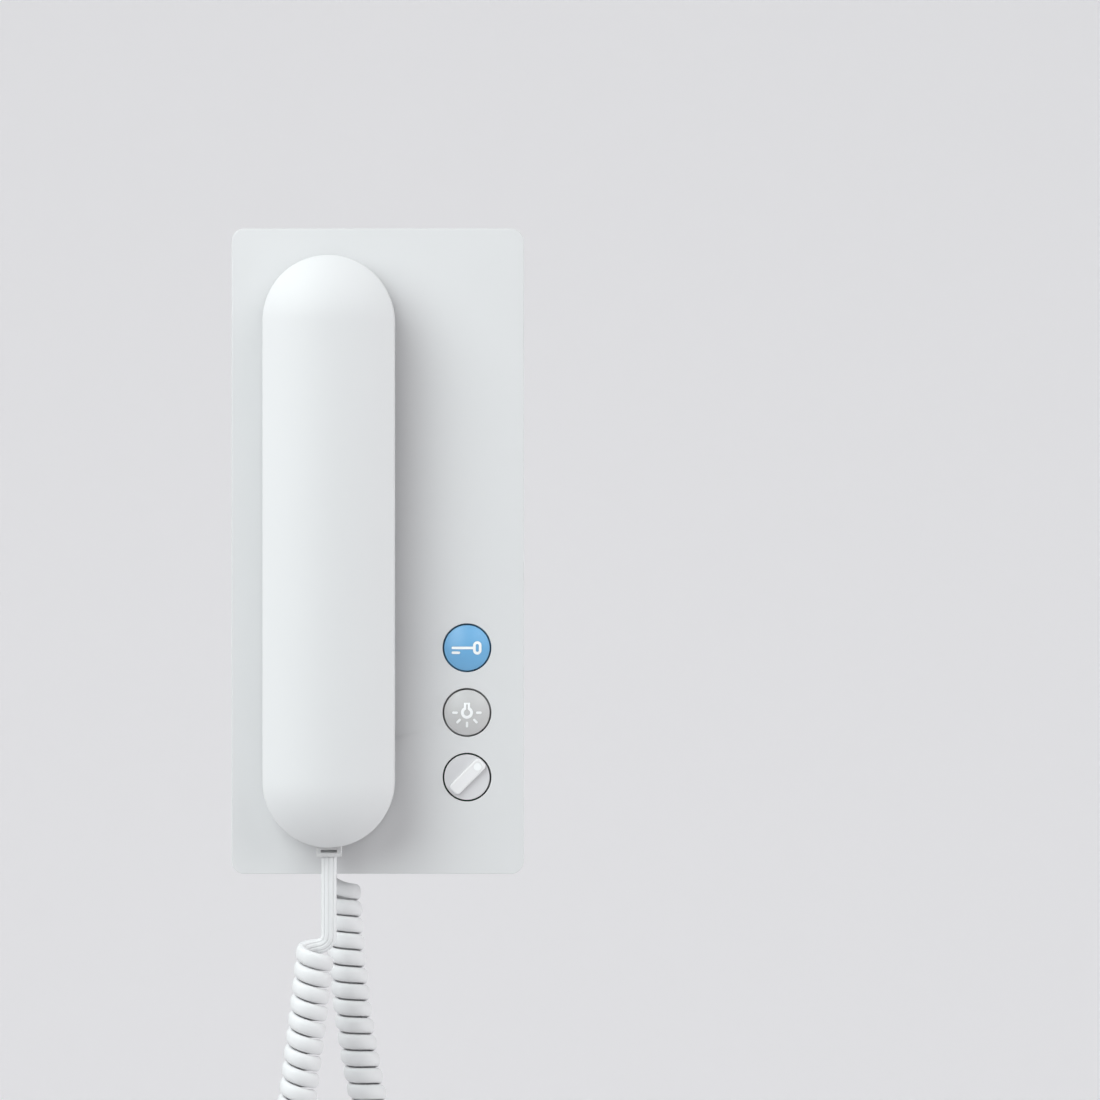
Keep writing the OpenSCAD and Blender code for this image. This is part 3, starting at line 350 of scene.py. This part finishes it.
cordSet = {
    "width": 4.7 * mm,
    "thickness": 2.8 * mm,
    "curlDiameter": 12 * mm,
    "curlPitch": 5.2 * mm,
    "squareness": 0.92,          # 1 is an ellipse, less is squarer
    "grooveDepth": 0.3 * mm,
    "groovePitch": 1.34 * mm,
    "grooveSharpness": 18.0,     # power of the wave across the lead: more is a finer line
    "sides": 88,
    "pointsPerCurl": 26,
    "leadPoints": 24,            # on the straight lead below the handset
    "plugPoints": 4,             # on the short lead into the base's plug
    "handsetExit": (-14.8, -31.0, -94.6),     # mm, where the lead leaves the handset's plug
    "baseExit": (-15.3, -12.3, -99.9),        # mm, where it enters the base's plug
    "bendPull": 2.6,             # mm that a lead's bend holds its way at either end
    "bendAbove": 4.0,            # mm that a lead's edgewise bend starts above its curls
    "lastShare": 0.625,          # share of a turn left off at the base, where the lead joins from the front
    # mm, the middle of the curls from the handset to the base
    "route": [
        (-18.8, -35.5, -123), (-22, -32.5, -150), (-27, -28, -185), (-34, -22, -220),
        (-36, -18, -245), (-26, -14, -266), (-8, -10, -268), (4, -7.5, -250),
        (5, -7, -225), (0, -7, -190), (-6.5, -7, -155), (-9.5, -7.4, -132),
        (-11.6, -7.8, -106.5),
    ],
}


def unitRows(rows):
    return rows / np.linalg.norm(rows, axis=-1, keepdims=True)


def alongRoute(route, share):
    # the cubic curve through the route's points, at shares from 0 to 1
    spans = len(route) - 1
    padded = np.vstack([2 * route[0] - route[1], route, 2 * route[-1] - route[-2]])
    k = np.minimum((share * spans).astype(int), spans - 1)
    f = (share * spans - k)[:, None]
    a, b, c, d = (padded[k + i] for i in range(4))
    return 0.5 * (2 * b + f * (c - a) + f ** 2 * (2 * a - 5 * b + 4 * c - d)
                  + f ** 3 * (3 * b - a - 3 * c + d))


def curlTurns(route, curlDiameter, curlPitch, lastShare, steps=400):
    # turns made up to each share of the route: curls spread where the middle line bends
    share = np.linspace(0, 1, steps + 1)
    middle = alongRoute(route, share)
    index = np.arange(steps + 1)
    heading = unitRows(middle[np.minimum(index + 2, steps)] - middle[np.maximum(index - 2, 0)])
    length = np.linalg.norm(np.diff(middle, axis=0), axis=1)
    bend = np.linalg.norm(np.diff(heading, axis=0), axis=1) / length
    turns = np.concatenate([[0], np.cumsum(length * (1 - bend * curlDiameter / 2) / curlPitch)])
    count = math.floor(turns[-1]) - lastShare
    return share, turns * count / turns[-1], count


def leadBend(start, onto, heading, pull, count=24):
    f = np.linspace(0, 1, count, endpoint=False)[:, None]
    g = 1 - f
    down = np.array([0, 0, pull])
    return (g ** 3 * start + 3 * g * g * f * (start - down)
            + 3 * g * f * f * (onto - pull * heading) + f ** 3 * onto)


def cordLine(cord, nearShare=0.005):
    # points along the cord's middle in metres, and the way its flat side faces at each
    route = np.array(cord["route"], float)
    curlDiameter, curlPitch = cord["curlDiameter"] / mm, cord["curlPitch"] / mm
    curlRadius = (curlDiameter - cord["thickness"] / mm) / 2
    share, turns, count = curlTurns(route, curlDiameter, curlPitch, cord["lastShare"])

    def curl(turn):
        u = np.interp(turn, turns, share)
        before, after = np.maximum(u - nearShare, 0), np.minimum(u + nearShare, 1)
        along = unitRows(alongRoute(route, after) - alongRoute(route, before))
        rear = unitRows(np.array([0.0, 1.0, 0.0]) - along[:, 1:2] * along)
        side = np.cross(along, rear)
        angle = 2 * math.pi * turn[:, None]
        facing = np.cos(angle) * rear - np.sin(angle) * side
        return alongRoute(route, u) + curlRadius * facing, facing

    turn = np.linspace(0, count, int(count * cord["pointsPerCurl"]) + 1)
    curls, facing = curl(turn)
    above = np.array([0, 0, cord["bendAbove"]])
    firstWay = unitRows(curls[1] - curls[0])
    lastWay = unitRows(curls[-2] - curls[-1])
    handsetExit, baseExit = np.array(cord["handsetExit"]), np.array(cord["baseExit"])
    handsetTop = np.array([handsetExit[0], curls[0][1], curls[0][2]]) + above
    baseTop = np.array([baseExit[0], curls[-1][1], curls[-1][2]]) + above
    handsetLead = np.linspace(handsetExit, handsetTop, cord["leadPoints"], endpoint=False)
    baseLead = np.linspace(baseExit, baseTop, cord["plugPoints"], endpoint=False)
    handsetBend = leadBend(handsetTop, curls[0], firstWay, cord["bendPull"])
    baseBend = leadBend(baseTop, curls[-1], lastWay, cord["bendPull"])
    line = np.vstack([handsetLead, handsetBend, curls, baseBend[::-1], baseLead[::-1]])
    rearward, frontward = np.array([[0.0, 1.0, 0.0]]), np.array([[0.0, -1.0, 0.0]])
    twist = np.linspace(1, 0, len(baseBend))[:, None]
    ways = np.vstack([
        np.repeat(rearward, len(handsetLead) + len(handsetBend), axis=0), facing,
        unitRows(twist * facing[-1] + (1 - twist) * frontward),
        np.repeat(frontward, len(baseLead), axis=0)])
    middle = alongRoute(route, np.interp(turn, turns, share))
    lowest = len(handsetLead) + len(handsetBend) + int(np.argmin(middle[:, 2]))
    return line * mm, ways, lowest


def squaredHalf(tree, along, squareness, size):
    # one coordinate of the unit circle, squared off and scaled to half a size
    far = addNode(tree, "ShaderNodeMath", {0: along}, operation="ABSOLUTE")
    squared = addNode(tree, "ShaderNodeMath", {0: far.outputs["Value"], 1: squareness}, operation="POWER")
    sign = addNode(tree, "ShaderNodeMath", {0: along}, operation="SIGN")
    half = addNode(tree, "ShaderNodeMath", {0: size, 1: 0.5}, operation="MULTIPLY")
    signed = addNode(tree, "ShaderNodeMath", {
        0: squared.outputs["Value"], 1: sign.outputs["Value"]}, operation="MULTIPLY")
    scaled = addNode(tree, "ShaderNodeMath", {
        0: signed.outputs["Value"], 1: half.outputs["Value"]}, operation="MULTIPLY")
    return scaled.outputs["Value"]


def flatCordTree():
    # sweeps a squared oval, grooved on its inner side, along points that carry the way the flat side faces
    tree = bpy.data.node_groups.new("flatCord", "GeometryNodeTree")
    face = tree.interface
    face.new_socket("Geometry", in_out="INPUT", socket_type="NodeSocketGeometry")
    for label in ("Width", "Thickness", "Squareness", "Groove Depth", "Groove Pitch", "Groove Sharpness"):
        face.new_socket(label, in_out="INPUT", socket_type="NodeSocketFloat")
    face.new_socket("Sides", in_out="INPUT", socket_type="NodeSocketInt")
    face.new_socket("Jacket", in_out="INPUT", socket_type="NodeSocketMaterial")
    face.new_socket("Geometry", in_out="OUTPUT", socket_type="NodeSocketGeometry")
    given = addNode(tree, "NodeGroupInput").outputs
    line = addNode(tree, "GeometryNodeMeshToCurve", {"Mesh": given["Geometry"]})
    facing = addNode(tree, "GeometryNodeInputNamedAttribute", {"Name": "facing"},
                     data_type="FLOAT_VECTOR")
    turned = addNode(tree, "GeometryNodeSetCurveNormal", {
        "Curve": line.outputs["Curve"], "Normal": facing.outputs["Attribute"]}, mode="FREE")
    circle = addNode(tree, "GeometryNodeCurvePrimitiveCircle", {
        "Resolution": given["Sides"], "Radius": 1.0})
    spot = addNode(tree, "GeometryNodeInputPosition")
    parts = addNode(tree, "ShaderNodeSeparateXYZ", {"Vector": spot.outputs["Position"]})
    thick = squaredHalf(tree, parts.outputs["X"], given["Squareness"], given["Thickness"])
    wide = squaredHalf(tree, parts.outputs["Y"], given["Squareness"], given["Width"])
    groove = addNode(tree, "ShaderNodeMath", {0: wide, 1: given["Groove Pitch"]}, operation="DIVIDE")
    phase = addNode(tree, "ShaderNodeMath", {
        0: groove.outputs["Value"], 1: 2 * math.pi}, operation="MULTIPLY")
    wave = addNode(tree, "ShaderNodeMath", {0: phase.outputs["Value"]}, operation="COSINE")
    raised = addNode(tree, "ShaderNodeMath", {
        0: wave.outputs["Value"], 1: 0.5, 2: 0.5}, operation="MULTIPLY_ADD")
    crest = addNode(tree, "ShaderNodeMath", {
        0: raised.outputs["Value"], 1: given["Groove Sharpness"]}, operation="POWER")
    inside = addNode(tree, "ShaderNodeMath", {0: thick, 1: 0.0}, operation="LESS_THAN")
    inner = addNode(tree, "ShaderNodeMath", {
        0: crest.outputs["Value"], 1: inside.outputs["Value"]}, operation="MULTIPLY")
    grooved = addNode(tree, "ShaderNodeMath", {
        0: inner.outputs["Value"], 1: given["Groove Depth"], 2: thick}, operation="MULTIPLY_ADD")
    oval = addNode(tree, "ShaderNodeCombineXYZ", {"X": grooved.outputs["Value"], "Y": wide})
    section = addNode(tree, "GeometryNodeSetPosition", {
        "Geometry": circle.outputs["Curve"], "Position": oval.outputs["Vector"]})
    swept = addNode(tree, "GeometryNodeCurveToMesh", {
        "Curve": turned.outputs["Curve"], "Profile Curve": section.outputs["Geometry"], "Fill Caps": True})
    smooth = addNode(tree, "GeometryNodeSetShadeSmooth", {"Geometry": swept.outputs["Mesh"]})
    whole = addNode(tree, "GeometryNodeRealizeInstances", {"Geometry": smooth.outputs["Geometry"]})
    dressed = addNode(tree, "GeometryNodeSetMaterial", {
        "Geometry": whole.outputs["Geometry"], "Material": given["Jacket"]})
    addNode(tree, "NodeGroupOutput", {"Geometry": dressed.outputs["Geometry"]})
    return tree


def sweptCord(name, line, ways, cord, tree):
    mesh = bpy.data.meshes.new(name)
    mesh.from_pydata(line.tolist(), [(i, i + 1) for i in range(len(line) - 1)], [])
    mesh.attributes.new("facing", "FLOAT_VECTOR", "POINT").data.foreach_set("vector", ways.ravel())
    piece = linkNew(name, mesh)
    modifier = piece.modifiers.new("sweep", "NODES")
    modifier.node_group = tree
    wanted = {
        "Width": cord["width"], "Thickness": cord["thickness"], "Squareness": cord["squareness"],
        "Groove Depth": cord["grooveDepth"], "Groove Pitch": cord["groovePitch"],
        "Groove Sharpness": cord["grooveSharpness"], "Sides": cord["sides"], "Jacket": cordPvc,
    }
    for socket in tree.interface.items_tree:
        if socket.name in wanted:
            modifier[socket.identifier] = wanted[socket.name]
    return bakeModifiers(piece)


cordPoints, cordWays, cordLow = cordLine(cordSet)
cordTree = flatCordTree()


def cordStretch(name, first, last):
    # one length of the cord, between two of its points
    points = cordPoints[first:last]
    piece = sweptCord(name, points, cordWays[first:last], cordSet, cordTree)
    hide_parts("curly_cord")
    return piece


handsetCord = cordStretch("curlyCordHandsetSide", 0, cordLow + 1)
baseCord = cordStretch("curlyCordBaseSide", cordLow, len(cordPoints))
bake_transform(handsetCord)
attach(baseCord, "station")
print("cord swept in two lengths that meet at the bottom of its loop")


# The handset's front shell: one smooth crown swept round a long, round-ended outline

handsetSet = {
    "middle": -14.8 * mm,
    "width": 40.6 * mm,
    "length": 183 * mm,
    "top": 46 * mm,              # crown above the wall
    "parting": 33.55 * mm,       # lower edge above the wall
    "partingEase": 0.25 * mm,    # broken edges that make a fine groove where the shells meet
    "crownRadius": 32.5 * mm,
    "edgeRadius": 0.8 * mm,
    "wall": 1.8 * mm,
    "wayWidth": 8.4 * mm,        # the way in for the plug
    "wayTop": 34.2 * mm,         # its upper side above the wall
    "wayDepth": 4 * mm,          # through the round end, from below
    "wayOver": 1 * mm,           # how far the cut starts outside
    "creaseFrom": 40,            # degrees, from which shading breaks
}


def crownProfile(shape, sideSteps=4, edgeSteps=8, crownSteps=40):
    # half a section, as distance from the middle line and height above the wall
    half, top, crown, edge = shape["width"] / 2, shape["top"], shape["crownRadius"], shape["edgeRadius"]
    ease = shape["partingEase"]
    foot = shape["parting"] + ease
    tilt = math.asin((half - edge) / (crown - edge))
    centre = top - crown
    edgeHeight = centre + (crown - edge) * math.cos(tilt)
    rows = [(half - ease, shape["parting"])]
    rows += [(half, foot + (edgeHeight - foot) * i / sideSteps) for i in range(sideSteps)]
    for i in range(edgeSteps):
        angle = (math.pi / 2 - tilt) * i / edgeSteps
        rows.append((half - edge + edge * math.cos(angle), edgeHeight + edge * math.sin(angle)))
    for i in range(crownSteps + 1):
        angle = tilt * (1 - i / crownSteps)
        rows.append((crown * math.sin(angle), centre + crown * math.cos(angle)))
    return rows


def stadiumStations(shape, endSteps=64, sideSteps=24):
    # round the outline: the nearest point of the middle line and the way outwards
    reach = (shape["length"] - shape["width"]) / 2
    stations = []
    for turn in (0, 1):
        sign = 1 - 2 * turn
        stations += [((0, sign * reach * (2 * i / sideSteps - 1)), (sign, 0)) for i in range(sideSteps)]
        for i in range(endSteps):
            angle = math.pi * (turn + i / endSteps)
            stations.append(((0, sign * reach), (math.cos(angle), math.sin(angle))))
    return stations


def crownShell(name, shape):
    bm = bmesh.new()
    profile, stations = crownProfile(shape), stadiumStations(shape)
    grid = [[bm.verts.new((shape["middle"] + c[0] + r * o[0], -w, c[1] + r * o[1])) for r, w in profile]
            for c, o in stations]
    for i in range(len(grid)):
        near, far = grid[i], grid[(i + 1) % len(grid)]
        for k in range(len(profile) - 1):
            bm.faces.new((near[k], far[k], far[k + 1], near[k + 1]))
    bmesh.ops.remove_doubles(bm, verts=bm.verts, dist=easeSet["weld"])
    bmesh.ops.recalc_face_normals(bm, faces=bm.faces)
    mesh = bpy.data.meshes.new(name)
    bm.to_mesh(mesh)
    bm.free()
    outwards = sum(face.normal.y * face.area for face in mesh.polygons)
    if outwards > 0:
        mesh.flip_normals()
    for face in mesh.polygons:
        face.use_smooth = True
    return linkNew(name, mesh)


def cutBlock(piece, low, high):
    # takes a square-cornered block out of a piece
    bm = bmesh.new()
    bmesh.ops.create_cube(bm, size=1.0)
    for vert in bm.verts:
        vert.co = [low[i] + (high[i] - low[i]) * (vert.co[i] + 0.5) for i in range(3)]
    mesh = bpy.data.meshes.new("cutter")
    bm.to_mesh(mesh)
    bm.free()
    cutter = linkNew("cutter", mesh)
    cut = piece.modifiers.new("cut", "BOOLEAN")
    cut.operation = "DIFFERENCE"
    cut.object = cutter
    bakeModifiers(piece)
    dropObject(cutter)


handsetFront = crownShell("handsetFront", handsetSet)
shellWall = handsetFront.modifiers.new("wall", "SOLIDIFY")
shellWall.thickness = handsetSet["wall"]
shellWall.offset = -1
bakeModifiers(handsetFront)
lowEnd, wayHalf = -handsetSet["length"] / 2, handsetSet["wayWidth"] / 2
cutBlock(handsetFront,
         (handsetSet["middle"] - wayHalf, -handsetSet["wayTop"], lowEnd - handsetSet["wayOver"]),
         (handsetSet["middle"] + wayHalf, 0, lowEnd + handsetSet["wayDepth"]))
handsetFront.data.set_sharp_from_angle(angle=math.radians(handsetSet["creaseFrom"]))
setMaterial(handsetFront, absWhite)
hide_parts("handset_outer")
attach(handsetFront, "handset")
print("handset front swept:", len(handsetFront.data.polygons), "faces")


# The station's cover: rounded rim, and broken edges round the holes for the keys

coverSet = {
    "face": -20 * mm,
    "halfWidth": 45.5 * mm,
    "halfHeight": 100.5 * mm,
    "cornerRadius": 4 * mm,
    "rim": 0.2 * mm,
    "holeRadius": 7.6 * mm,
    "holeEdge": 0.2 * mm,
}
keySet = {
    "across": 27.8 * mm,
    "doorHeight": -30.1 * mm,
    "lightHeight": -50.25 * mm,
    "knobHeight": -70.4 * mm,
    "radius": 7.1 * mm,
    "dome": 1.8 * mm,
    "edge": 0.25 * mm,
    "shadeDepth": 0.5 * mm,        # depth of the dyed cap; below it the key's side is painted black as shade
    "shadeInset": 0.5 * mm,     # how far in from the rim the key's side takes the painted shade
    "ballWithin": 0.03 * mm,     # faces this close to the dome's ball are shaded as the ball
}


def onFace(y, face):
    return abs(y - face) < sameFace


def fromKey(x, z, height):
    return math.hypot(x - keySet["across"], z - height)


def onCoverRim(x, y, z):
    reach = coverSet["cornerRadius"] + onRimWithin
    outside = abs(x) > coverSet["halfWidth"] - reach or abs(z) > coverSet["halfHeight"] - reach
    return onFace(y, coverSet["face"]) and outside


def onKeyHole(x, y, z):
    heights = (keySet["doorHeight"], keySet["lightHeight"], keySet["knobHeight"])
    nearest = min(fromKey(x, z, height) for height in heights)
    return onFace(y, coverSet["face"]) and nearest < coverSet["holeRadius"] + onRimWithin


stationCover = easedPiece("front_cover", "stationCover", absWhite, [
    (coverSet["rim"], onCoverRim), (coverSet["holeEdge"], onKeyHole)])


# The two keys: a dyed cap whose sides are painted black as shade, so that the gap round each one reads
# black

def smoothDome(piece, centre, radius):
    # faces on the ball are shaded as the ball itself
    mesh = piece.data
    normals = [corner.vector.copy() for corner in mesh.corner_normals]
    for face in mesh.polygons:
        if abs((face.center - centre).length - radius) < keySet["ballWithin"]:
            for corner in face.loop_indices:
                normals[corner] = (mesh.vertices[mesh.loops[corner].vertex_index].co - centre).normalized()
    mesh.normals_split_custom_set(normals)


def easedKey(nodeName, name, material, height):
    def onRim(x, y, z):
        return onFace(y, coverSet["face"]) and fromKey(x, z, height) > keySet["radius"] - onRimWithin

    def onShadedCarrierSide(x, y, z):
        away = fromKey(x, z, height)
        return y > coverSet["face"] + keySet["shadeDepth"] and away > keySet["radius"] - keySet["shadeInset"]

    key = easedPiece(nodeName, name, material, [(keySet["edge"], onRim)])
    ball = (keySet["radius"] ** 2 + keySet["dome"] ** 2) / (2 * keySet["dome"])
    smoothDome(key, Vector((keySet["across"], coverSet["face"] - keySet["dome"] + ball, height)), ball)
    # painted shade: the key's sides below the cap are painted black, so the gap round it reads dark
    paintFaces(key, nylonBlackAndGapShade, onShadedCarrierSide)
    return key


doorKey = easedKey("door_key_cap", "doorKey", keyBlue, keySet["doorHeight"])
lightKey = easedKey("light_key_cap", "lightKey", keyGrey, keySet["lightHeight"])


# The ring knob: a grey disc with a paler bar across it

knobSet = {
    "face": -19.7 * mm,
    "barTop": -21.2 * mm,
    "barEdge": 0.45 * mm,
    "markerOut": 4.65 * mm,      # along the bar, which points up to the right
    "markerClear": 1.5 * mm,
}


def onBarEdge(x, y, z):
    out = knobSet["markerOut"] / math.sqrt(2)
    fromMarker = math.hypot(x - keySet["across"] - out, z - keySet["knobHeight"] - out)
    return onFace(y, knobSet["barTop"]) and fromMarker > knobSet["markerClear"]


def onDiscEdge(x, y, z):
    away = fromKey(x, z, keySet["knobHeight"])
    return onFace(y, knobSet["face"]) and away > keySet["radius"] - onRimWithin


def onBar(x, y, z):
    return y < knobSet["face"] - onRimWithin


def onShadedKnobSkirt(x, y, z):
    away = fromKey(x, z, keySet["knobHeight"])
    return y > knobSet["face"] + keySet["shadeDepth"] and away > keySet["radius"] - keySet["shadeInset"]


ringKnob = easedPiece("ring_knob", "ringKnob", knobGrey, [
    (knobSet["barEdge"], onBarEdge), (keySet["edge"], onDiscEdge)])
paintFaces(ringKnob, knobPale, onBar)
# painted shade: the knob's skirt is painted black, so the gap round it reads dark
paintFaces(ringKnob, nylonBlackAndGapShade, onShadedKnobSkirt)


# The handset's back and the hook lever's finger, which show when the handset is lifted

backSet = {
    "plate": -23.5 * mm,
    "parting": -33.5 * mm,
    "capFace": -16 * mm,
    "plateEdge": 0.8 * mm,
    "capEdge": 1.2 * mm,
    "capRadius": 15 * mm,
    "capHeight": 67 * mm,
    "leverEdge": 0.3 * mm,
}


def onOutline(x, z):
    reach = (handsetSet["length"] - handsetSet["width"]) / 2
    beyond = max(0.0, abs(z) - reach)
    return math.hypot(x - handsetSet["middle"], beyond) > handsetSet["width"] / 2 - onRimWithin


def onBackRim(x, y, z):
    return onFace(y, backSet["plate"]) and onOutline(x, z)


def onPartingRim(x, y, z):
    return onFace(y, backSet["parting"]) and onOutline(x, z)


def onCapRim(x, y, z):
    fromCap = math.hypot(x - handsetSet["middle"], abs(z) - backSet["capHeight"])
    return onFace(y, backSet["capFace"]) and fromCap > backSet["capRadius"] - onRimWithin


handsetBack = easedPiece("handset_inner", "handsetBack", absWhite, [
    (backSet["plateEdge"], onBackRim), (handsetSet["partingEase"], onPartingRim),
    (backSet["capEdge"], onCapRim)])
hookLever = easedPiece("hook_lever", "hookLever", acetalGrey, [
    (backSet["leverEdge"], anyEdge)])


# Studio: a pale backdrop and floor, two soft boxes at the upper left, weaker light from the sides

studioSet = {
    "backdropAway": 4.0,
    "floorDrop": 2.0,
    "cove": 1.0,
    "wide": 14.0,
    "high": 9.0,
    "near": -8.0,
    "skyColour": "#F2F4F6",
    "skyStrength": 0.09,
    "paperGlow": 0.19,           # the sheet is lit through from behind
}
# where each light comes from: degrees off the wall, and degrees round from the right
# strength is what reaches the station, and a soft box also says how far away it stands
lightSet = {
    "lowBox": {"off": 15, "round": 120, "strength": 1.92, "spread": 55, "away": 2.2, "colour": "#F9FFFF"},
    "highBox": {"off": 47, "round": 139, "strength": 2.42, "spread": 50, "away": 2.2, "colour": "#F9FFFF"},
    "rightGraze": {"off": 6, "round": 0, "strength": 1.61, "spread": 40, "colour": "#FDFEFF"},
    "rightFill": {"off": 42, "round": 45, "strength": 0.75, "spread": 40, "colour": "#FDFEFF"},
    "leftGraze": {"off": 6, "round": 180, "strength": 0.52, "spread": 40, "colour": "#FDFEFF"},
}
# matt paper of the backdrop
paper = mouldedPlastic("backdropPaper", "#E6E5E7", 0.9, 2 * mm, 0.02 * mm, 0.002)
paperShader = paper.node_tree.nodes["Principled BSDF"]
paperShader.inputs["Emission Color"].default_value = hexColour("#FDFBFC")
paperShader.inputs["Emission Strength"].default_value = studioSet["paperGlow"]


def paperSweep(name, studio, steps=12):
    # floor, cove and wall in one sheet
    cove, drop, away = studio["cove"], studio["floorDrop"], studio["backdropAway"]
    rows = [(studio["near"], -drop)]
    for i in range(steps + 1):
        angle = math.pi / 2 * i / steps
        rows.append((away - cove + cove * math.sin(angle), cove - drop - cove * math.cos(angle)))
    rows.append((away, studio["high"]))
    points = [(x, y, z) for y, z in rows for x in (-studio["wide"] / 2, studio["wide"] / 2)]
    faces = [(2 * i, 2 * i + 1, 2 * i + 3, 2 * i + 2) for i in range(len(rows) - 1)]
    mesh = bpy.data.meshes.new(name)
    mesh.from_pydata(points, [], faces)
    for face in mesh.polygons:
        face.use_smooth = True
    return linkNew(name, mesh)


backdrop = paperSweep("backdrop", studioSet)
setMaterial(backdrop, paper)

world = bpy.data.worlds.new("studioSky")
world.use_nodes = True
sky = world.node_tree.nodes["Background"]
sky.inputs["Color"].default_value = hexColour(studioSet["skyColour"])
sky.inputs["Strength"].default_value = studioSet["skyStrength"]
scene.world = world


for lightName, light in lightSet.items():
    off, around = math.radians(light["off"]), math.radians(light["round"])
    comesFrom = Vector((math.cos(off) * math.cos(around), -math.sin(off), math.cos(off) * math.sin(around)))
    spread = math.radians(light["spread"])
    if "away" in light:
        data = bpy.data.lights.new(lightName, "AREA")
        data.shape = "DISK"
        data.size = 2 * light["away"] * math.tan(spread / 2)
        data.energy = light["strength"] * math.pi * light["away"] ** 2
    else:
        data = bpy.data.lights.new(lightName, "SUN")
        data.angle = spread
        data.energy = light["strength"]
    data.color = hexColour(light["colour"])[:3]
    lamp = linkNew(lightName, data)
    lamp.location = comesFrom * light.get("away", 1.0)
    lamp.rotation_euler = comesFrom.to_track_quat("Z", "Y").to_euler()
    lamp.visible_camera = False
print("studio lit")
